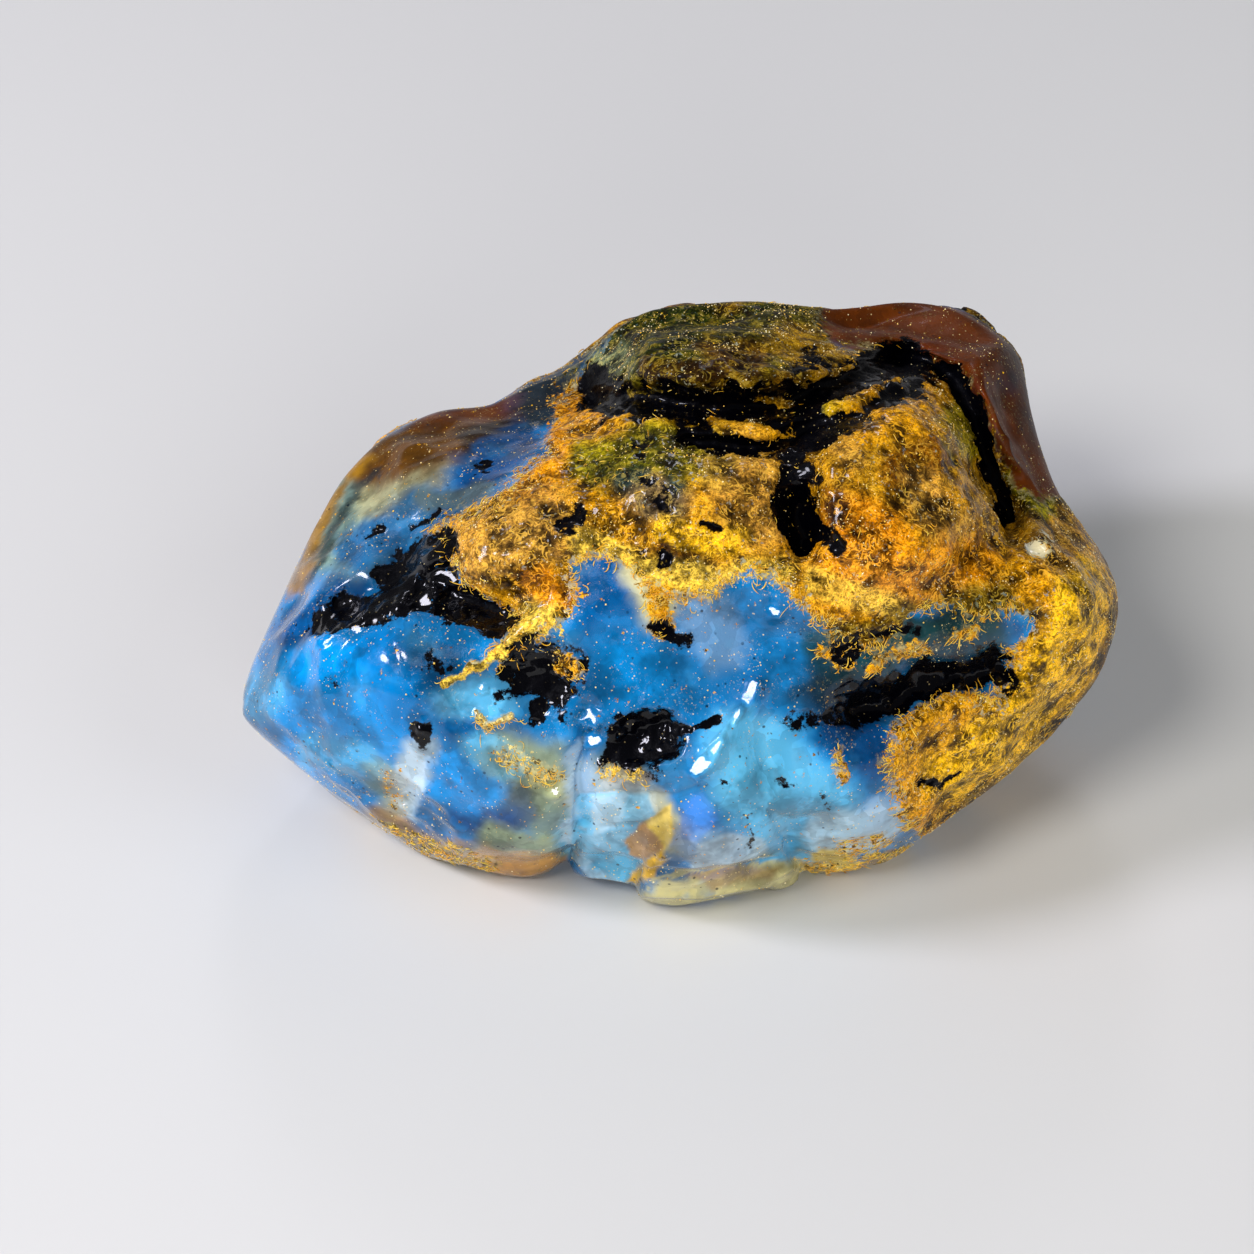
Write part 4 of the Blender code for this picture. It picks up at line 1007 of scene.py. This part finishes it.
def resin_colour(n, place, swirl, tone, haze):
    """Soft clouds and flakes in the resin's own colour, dark motes, pale dust, and haze by the crust."""
    resin = n.attribute("resin", "Color")
    colour = n.gain(resin, n.step(n.noise(place, 0.26, 4, 0.62), 0.36, 0.58, 0.50, 1.05))
    blue = n.step(n.math("SUBTRACT", n.channel(resin, "Blue"), n.channel(resin, "Red")), 0.05, 0.30)
    milky = n.times(n.step(n.noise(place, 0.33, 3, 0.6), 0.50, 0.74), n.times(blue, 0.16))
    colour = n.mix(milky, colour, rgba("sky"))
    flakes = n.cells(n.vector("ADD", place, n.gain(swirl, 1.1)), 0.9, "Color")
    colour = n.gain(colour, n.step(n.channel(flakes, "Red"), 0.2, 0.9, 0.86, 1.10))
    motes = n.times(n.spots(place, 1.3, 0.08, 0.17), n.patches(place, 0.5, 0.44, 0.58))
    colour = n.mix(n.times(motes, 0.8), colour, rgba("navy", 0.35))
    dust = n.times(n.step(n.noise(place, 6.0, 2, 0.7), 0.58, 0.68), n.patches(place, 0.5, 0.46, 0.66))
    colour = n.mix(n.times(dust, 0.22), colour, rgba("cream"))
    veil = n.mix(n.step(n.noise(place, 1.6, 2, 0.6), 0.40, 0.62), rgba("grey_green", 0.6), rgba("cream"))
    return n.mix(n.times(haze, 0.75), colour, n.mix(0.35, veil, tone))


def amber_material():
    """Resin, crust and soot in one skin, with golden specks over all: partly grit, partly painted glints.

    The corner points carry smooth shares and washes, and noise finer than the mesh breaks them up. Light
    passes only through bare resin. A film of wet lies over everything and is thinner on the crust.
    """
    n = Nodes("blue_amber")
    finish = bpy.context.scene.amber_finish
    place = n.millimetres()
    swirl = n.vector("SUBTRACT", n.noise(place, 0.9, 1, output="Color"), (0.5, 0.5, 0.5))
    tone = n.attribute("crusty", "Color")
    crust, haze, soot = frayed_shares(n, place)
    resin = resin_colour(n, place, swirl, tone, haze)
    colour = n.mix(crust, resin, crust_colour(n, place, swirl, tone))
    colour = n.mix(soot, colour, rgba("soot"))
    # Partly painted light: pale specks of grit that also stand in for painted glints
    specks_and_glints = n.step(n.noise(place, 0.7, 1), 0.40, 0.60, 0.15, 1.0)
    specks_and_glints = n.times(n.spots(place, 2.3, 0.06, 0.15), specks_and_glints)
    specks_and_glints = n.times(specks_and_glints, n.mix_value(soot, 1.0, 0.25))
    colour = n.mix(n.times(specks_and_glints, 0.85), colour, n.mix(0.4, rgba("ivory"), rgba("honey")))

    bare = n.times(n.math("SUBTRACT", 1.0, crust), n.math("SUBTRACT", 1.0, soot))
    dull = n.mix_value(n.attribute("wet"), finish.matt_roughness, finish.resin_roughness)
    film = n.mix_value(crust, finish.wetness, finish.wetness * 0.5)
    grainy = n.step(n.math("MAXIMUM", n.attribute("crust"), n.attribute("soot")), 0.35, 0.65)
    grain = n.times(n.noise(place, 2.2, 3, 0.66), n.mix_value(grainy, 0.35, 1.0))
    bump = n.add("ShaderNodeBump", {"Height": grain, "Strength": 0.9, "Distance": finish.grain_depth})
    n.set_shader({
        "Base Color": colour,
        "Transmission Weight": n.times(bare, n.attribute("clear")),
        "Roughness": n.mix_value(bare, finish.matt_roughness, dull),
        "IOR": finish.ior,
        "Specular IOR Level": 0.05,
        "Coat Weight": n.times(n.attribute("wet"), film),
        "Coat Roughness": 0.10,
        "Coat IOR": 1.40,
        "Normal": bump.outputs["Normal"],
    })
    depth_colour = (*finish.depth_colour, 1.0)
    depth = n.add("ShaderNodeVolumeAbsorption", {"Density": finish.absorption, "Color": depth_colour})
    n.feed(n.output.inputs["Volume"], depth.outputs[0])
    return n.material


def speck_material(name, colours, roughness):
    """Grit and fibres: between two palette colours, and a little rougher here and there."""
    n = Nodes(name)
    place = n.millimetres()
    first, second = (rgba(colour) for colour in colours)
    n.set_shader({
        "Base Color": n.mix(n.step(n.noise(place, 1.4, 2), 0.3, 0.7), first, second),
        "Roughness": n.step(n.noise(place, 3.0, 2), 0.3, 0.7, roughness, roughness + 0.15),
        "IOR": bpy.context.scene.amber_finish.ior,
        "Coat Weight": 0.6,
        "Coat Roughness": 0.05,
    })
    return n.material


class AmberShape(bpy.types.PropertyGroup):
    """Sizes of the lump's fine skin."""

    cells: IntProperty(name="Cells", description="Grid cells along one side of the skin's cube",
                       default=128, min=16, max=128)
    face_draw: FloatProperty(name="Face share", description="How far the cells are drawn to the best face",
                             default=0.50, min=0.0, max=0.8)
    crust_step: FloatProperty(name="Crust step", description="How far the crust stands over the resin",
                              default=0.00012, unit="LENGTH", precision=6)
    crust_relief: FloatProperty(name="Crust relief", description="Height of the crust's lumps",
                                default=0.00042, unit="LENGTH", precision=6)
    pocket_relief: FloatProperty(name="Pocket relief", description="Depth of the black pockets' bubbles",
                                 default=0.00030, unit="LENGTH", precision=6)


class AmberFinish(bpy.types.PropertyGroup):
    """How the skin takes light."""

    resin_roughness: FloatProperty(name="Resin roughness", description="Roughness of the bare resin",
                                   default=0.15, min=0.0, max=1.0, subtype="FACTOR")
    matt_roughness: FloatProperty(name="Matt roughness", description="Roughness of crust and soot",
                                  default=0.50, min=0.0, max=1.0, subtype="FACTOR")
    wetness: FloatProperty(name="Wetness", description="Share of the clear film over everything",
                           default=0.8, min=0.0, max=1.0, subtype="FACTOR")
    ior: FloatProperty(name="Refraction", description="Refractive index of amber", default=1.54)
    grain_depth: FloatProperty(name="Grain depth", description="Depth of the crust's finest grain",
                               default=0.00014, unit="LENGTH", precision=6)
    absorption: FloatProperty(name="Absorption", description="How fast light fades inside, per metre",
                              default=160.0)
    depth_colour: FloatVectorProperty(name="Depth colour", description="Colour of light that has passed",
                                      default=(1.0, 0.55, 0.12), subtype="COLOR", min=0.0, max=1.0)


class AmberGrit(bpy.types.PropertyGroup):
    """Counts and sizes of the grains and fibres."""

    grains: IntProperty(name="Grains", description="Bright grains over the whole lump", default=13000)
    grain_size: FloatProperty(name="Grain size", description="Half size of the largest grain",
                              default=0.00009, unit="LENGTH", precision=6)
    fibres: IntProperty(name="Fibres", description="Curled fibres on the crust and its edges", default=3600)
    fibre_length: FloatProperty(name="Fibre length", description="Length of the longest fibre",
                                default=0.0012, unit="LENGTH", precision=6)
    fibre_width: FloatProperty(name="Fibre width", description="Half width of the thickest fibre",
                               default=0.000036, unit="LENGTH", precision=6)


class AmberStage(bpy.types.PropertyGroup):
    """The camera, the light and the floor."""

    elevation: FloatProperty(name="Camera height", description="Angle of the camera above the floor",
                             default=LEAN, subtype="ANGLE")
    pixels_per_mm: FloatProperty(name="Scale", description="Picture pixels to a millimetre of the face",
                                 default=16.0)
    floor_colour: FloatVectorProperty(name="Floor", description="Colour of the floor",
                                      default=(0.62, 0.62, 0.61), subtype="COLOR", min=0.0, max=1.0)
    floor_width: FloatProperty(name="Floor width", description="Width of the square floor", default=4.0,
                               unit="LENGTH")
    sky: FloatProperty(name="Surrounding light", description="Strength of the light from all round",
                       default=0.08)
    key_power: FloatProperty(name="Key light", description="Power of the main soft light", default=1.4,
                             unit="POWER")


class AMBER_OT_lump(bpy.types.Operator):
    """Builds the lump's fine skin over its solid"""

    bl_idname = "amber.lump"
    bl_label = "Amber lump"

    def execute(self, context):
        shape = context.scene.amber_shape
        directions, quads = ball_grid(shape.cells, shape.face_draw)
        look = skin(directions)
        height, look["open"] = fine_relief(look)
        place = look["place"] + corner_normals(look["place"], quads) * height[:, None]
        place = chipped(place, look["out"])
        lump = new_piece("amber_lump", standing(place), quads, amber_material())
        lump.data.shade_smooth()
        for name in ("crust", "soot", "clear", "wet", "open", "resin", "crusty"):
            set_attribute(lump.data, name, look[name])
        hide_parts("amber")
        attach(lump, "root")
        return {"FINISHED"}


def corner_points(mesh):
    """The corner points of a mesh, in metres."""
    points = np.empty(len(mesh.vertices) * 3, np.float32)
    mesh.vertices.foreach_get("co", points)
    return points.reshape(-1, 3).astype(float)


def spots_on(mesh, weights, count, random):
    """Random spots on a mesh of four-sided faces: places and outward directions. A face is drawn as often
    as its area times its weight, and the spot lies anywhere between its corners."""
    points = corner_points(mesh)
    quads = np.empty(len(mesh.loops), np.int32)
    mesh.loops.foreach_get("vertex_index", quads)
    quads = quads.reshape(-1, 4)
    across = np.cross(points[quads[:, 2]] - points[quads[:, 0]], points[quads[:, 3]] - points[quads[:, 1]])
    area = np.linalg.norm(across, axis=1)
    chance = area * weights[quads].mean(axis=1)
    face = random.choice(len(quads), count, p=chance / chance.sum())
    u, v = random.random((2, count, 1))
    p = points[quads[face]]
    place = (p[:, 0] * (1 - u) + p[:, 1] * u) * (1 - v) + (p[:, 3] * (1 - u) + p[:, 2] * u) * v
    return place, across[face] / np.maximum(area[face], 1e-12)[:, None]


def mesh_facing(mesh):
    """How far each corner point faces the way the best face does, from -1 to 1."""
    normals = np.empty(len(mesh.vertices) * 3, np.float32)
    mesh.vertex_normals.foreach_get("vector", normals)
    return normals.reshape(-1, 3) @ np.array([0, -math.cos(LEAN), math.sin(LEAN)])


def read_attribute(mesh, name):
    """The number stored at each corner point."""
    values = np.empty(len(mesh.vertices), np.float32)
    mesh.attributes[name].data.foreach_get("value", values)
    return values.astype(float)


# Corners 0 to 3 stand round the middle, 4 above and 5 below
CRYSTAL_FACES = np.array([(0, 1, 4), (1, 2, 4), (2, 3, 4), (3, 0, 4),
                          (1, 0, 5), (2, 1, 5), (3, 2, 5), (0, 3, 5)])


class AMBER_OT_grit(bpy.types.Operator):
    """Scatters small bright grains over the lump, most of them on the crust"""

    bl_idname = "amber.grit"
    bl_label = "Bright grit"

    def execute(self, context):
        sizes = context.scene.amber_grit
        random = np.random.default_rng(7)
        mesh = bpy.data.objects["amber_lump"].data
        crust, soot = read_attribute(mesh, "crust"), read_attribute(mesh, "soot")
        clump = layered(lying(corner_points(mesh)), "grit_clumps")
        weights = (0.35 + crust) * (1 - 0.85 * soot) * smooth_step(-0.6, 0.9, clump) ** 2
        place, out = spots_on(mesh, weights, sizes.grains, random)
        # Each grain is an uneven eight-faced crystal: six corners along three turned axes
        aside = np.cross(out, random.normal(size=out.shape))
        aside /= np.linalg.norm(aside, axis=1, keepdims=True)
        third = np.cross(out, aside)
        size = sizes.grain_size * (0.30 + 0.70 * random.random(len(place)) ** 4)
        corners = np.stack([aside, third, -aside, -third, out, -out], axis=1)
        corners = corners * (size[:, None] * random.uniform(0.65, 1.15, (len(place), 6)))[:, :, None]
        points = (place[:, None] + corners).reshape(-1, 3)
        faces = (CRYSTAL_FACES + 6 * np.arange(len(place))[:, None, None]).reshape(-1, 3)
        points[:, 2] = np.maximum(points[:, 2], 0)
        grit = new_piece("bright_grit", points, faces, speck_material("grit", ("ivory", "honey"), 0.10))
        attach(grit, "root")
        return {"FINISHED"}


def lying(points):
    """Turns metres in the standing frame back into a, b, w in mm."""
    y, z = points[:, 1] + MIDDLE_FORWARD, points[:, 2] - MIDDLE_HEIGHT
    w = z * math.sin(LEAN) - y * math.cos(LEAN)
    return np.stack([points[:, 0], y * math.sin(LEAN) + z * math.cos(LEAN), w], axis=1) / MM


def away_from_crust(points):
    """Directions in the standing frame along which the face leaves the crust soonest: the slope of the
    depth inside CRUST_EDGE, by differences over half a millimetre."""
    a, b = layout(lying(points))
    step = 0.5
    fall_a = inside_depth(a - step, b, CRUST_EDGE) - inside_depth(a + step, b, CRUST_EDGE)
    fall_b = inside_depth(a, b - step, CRUST_EDGE) - inside_depth(a, b + step, CRUST_EDGE)
    return np.stack([fall_a, fall_b * math.sin(LEAN), fall_b * math.cos(LEAN)], axis=1)


class AMBER_OT_fibres(bpy.types.Operator):
    """Lays curled fibres on the crust, thickest along its edges, where they hang over the resin"""

    bl_idname = "amber.fibres"
    bl_label = "Crust fibres"

    def execute(self, context):
        sizes = context.scene.amber_grit
        random = np.random.default_rng(19)
        mesh = bpy.data.objects["amber_lump"].data
        crust, soot = read_attribute(mesh, "crust"), read_attribute(mesh, "soot")
        edge = smooth_step(0.25, 0.50, crust) * (1 - smooth_step(0.75, 1.0, crust))
        seen = smooth_step(0.15, 0.5, mesh_facing(mesh)) * smooth_step(0.5, 0.9, read_attribute(mesh, "wet"))
        weights = (edge + 0.07 * smooth_step(0.6, 1.0, crust)) * (1 - 0.8 * soot) * (0.03 + seen)
        place, out = spots_on(mesh, weights, sizes.fibres, random)
        way = away_from_crust(place) + random.normal(size=place.shape) * 0.6
        way -= out * (way * out).sum(axis=1, keepdims=True)
        way /= np.linalg.norm(way, axis=1, keepdims=True)
        points, faces = curls(place, out, way, sizes, random)
        points[:, 2] = np.maximum(points[:, 2], 0)
        fibres = new_piece("crust_fibres", points, faces, speck_material("fibre", ("straw", "gold"), 0.22))
        fibres.data.shade_smooth()
        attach(fibres, "root")
        return {"FINISHED"}


def curls(place, out, way, sizes, random, rings=7, sides=4):
    """Short curled fibres on the skin: each is a tube along a winding line, narrowing at both ends.

    With s from 0 to 1 along it, the line heads turn * s + hook * s^3 away from way, and its places are
    the running sums of the cosine and the sine of that heading. It rises over the skin by a share of
    4s(1 - s) of its radius, and the radius shrinks to almost nothing at both ends as the root of
    4s(1 - s).
    """
    count = len(place)
    second = np.cross(out, way)
    length = sizes.fibre_length * (0.22 + 0.78 * random.random((count, 1)) ** 2)
    turn = random.normal(0, 1.3, (count, 1))
    hook = random.normal(0, 1.8, (count, 1))
    radius = sizes.fibre_width * random.uniform(0.45, 1.0, (count, 1))
    s = np.linspace(0, 1, rings)[None]
    swell = 4 * s * (1 - s)
    heading = turn * s + hook * s**3
    x = length / rings * np.cumsum(np.cos(heading), axis=1)
    y = length / rings * np.cumsum(np.sin(heading), axis=1)
    rise = radius * (1.2 * swell - 0.7)
    path = (place[:, None] + way[:, None] * x[..., None] + second[:, None] * y[..., None]
            + out[:, None] * rise[..., None])
    along = way[:, None] * np.cos(heading)[..., None] + second[:, None] * np.sin(heading)[..., None]
    sideways = np.cross(along, out[:, None])
    girth = radius * (np.sqrt(swell) + 0.08)
    angle = np.arange(sides) * 2 * math.pi / sides
    around = (sideways[:, :, None] * np.cos(angle)[None, None, :, None]
              + out[:, None, None] * np.sin(angle)[None, None, :, None])
    points = (path[:, :, None] + around * girth[..., None, None]).reshape(-1, 3)
    ring, side = (x.ravel() for x in np.meshgrid(np.arange(rings - 1), np.arange(sides), indexing="ij"))
    after = (side + 1) % sides
    quads = np.stack([ring * sides + side, ring * sides + after, (ring + 1) * sides + after,
                      (ring + 1) * sides + side], axis=1)
    faces = quads[None] + (rings * sides) * np.arange(count)[:, None, None]
    return points, faces.reshape(-1, 4)


class AMBER_OT_stage(bpy.types.Operator):
    """Sets up the floor, the soft lights and the camera"""

    bl_idname = "amber.stage"
    bl_label = "Stage"

    def execute(self, context):
        scene, stage = context.scene, context.scene.amber_stage
        middle = Vector((0, -MIDDLE_FORWARD, MIDDLE_HEIGHT))
        self.add_floor(stage)
        self.add_camera(scene, stage, middle)
        for name, (offset, size, share, colour, mirrored) in LAMPS.items():
            self.add_lamp(name, middle, offset, size, stage.key_power * share, colour, mirrored)
        world = bpy.data.worlds.new("studio")
        world.use_nodes = True
        world.node_tree.nodes["Background"].inputs["Color"].default_value = (1.0, 1.0, 1.0, 1.0)
        world.node_tree.nodes["Background"].inputs["Strength"].default_value = stage.sky
        scene.world = world
        scene.view_settings.view_transform = "Standard"
        scene.cycles.use_denoising = True
        return {"FINISHED"}

    def add_floor(self, stage):
        n = Nodes("floor")
        n.set_shader({"Base Color": (*stage.floor_colour, 1.0), "Roughness": 0.7})
        half = stage.floor_width / 2
        corners = np.array([(-half, -half, 0), (half, -half, 0), (half, half, 0), (-half, half, 0)])
        floor = new_piece("floor", corners, np.array([(0, 1, 2, 3)]), n.material)

    def add_camera(self, scene, stage, middle):
        """The eye that the layout is seen from, EYE_DISTANCE out of the face, with its picture shifted so
        that the lump's middle lies where MIDDLE_RIGHT and MIDDLE_DOWN say."""
        lens = bpy.data.cameras.new("camera")
        lens.sensor_width = 36.0
        lens.lens = lens.sensor_width * EYE_DISTANCE / (PICTURE / stage.pixels_per_mm * MM)
        lens.shift_x = (PICTURE / 2 - MIDDLE_RIGHT) / PICTURE
        lens.shift_y = (MIDDLE_DOWN - PICTURE / 2) / PICTURE
        lens.clip_start = 0.01
        camera = bpy.data.objects.new("camera", lens)
        back = Vector((0, -math.cos(stage.elevation), math.sin(stage.elevation)))
        camera.location = middle + back * EYE_DISTANCE
        camera.rotation_euler = (-back).to_track_quat("-Z", "Y").to_euler()
        scene.collection.objects.link(camera)
        scene.camera = camera

    def add_lamp(self, name, middle, offset, size, power, colour, mirrored):
        """A round lamp aimed at the lump's middle."""
        light = bpy.data.lights.new(name, "AREA")
        light.shape = "DISK"
        light.size = size
        light.energy = power
        light.color = colour
        lamp = bpy.data.objects.new(name, light)
        lamp.visible_glossy = mirrored
        lamp.location = middle + Vector(offset)
        lamp.rotation_euler = (-Vector(offset)).to_track_quat("-Z", "Y").to_euler()
        bpy.context.scene.collection.objects.link(lamp)


class AMBER_PT_panel(bpy.types.Panel):
    """The lump's sizes, finish and stage, and a button for each piece"""

    bl_label = "Rough blue amber"
    bl_idname = "AMBER_PT_panel"
    bl_space_type = "VIEW_3D"
    bl_region_type = "UI"
    bl_category = "Amber"

    def draw(self, context):
        for group in GROUPS:
            box = self.layout.box()
            settings = getattr(context.scene, group)
            for name in settings.bl_rna.properties.keys():
                if name not in ("name", "rna_type"):
                    box.prop(settings, name)
        for operator in OPERATORS:
            self.layout.operator(operator.bl_idname)


GROUPS = {"amber_shape": AmberShape, "amber_finish": AmberFinish, "amber_grit": AmberGrit,
          "amber_stage": AmberStage}
OPERATORS = (AMBER_OT_lump, AMBER_OT_grit, AMBER_OT_fibres, AMBER_OT_stage)
CLASSES = (*GROUPS.values(), *OPERATORS, AMBER_PT_panel)


def register():
    for one in CLASSES:
        bpy.utils.register_class(one)
    for name, group in GROUPS.items():
        setattr(bpy.types.Scene, name, PointerProperty(type=group))


def unregister():
    for name in GROUPS:
        delattr(bpy.types.Scene, name)
    for one in reversed(CLASSES):
        bpy.utils.unregister_class(one)


def main():
    register()
    bpy.ops.amber.lump()
    bpy.ops.amber.grit()
    bpy.ops.amber.fibres()
    bpy.ops.amber.stage()


if __name__ == "__main__":
    main()
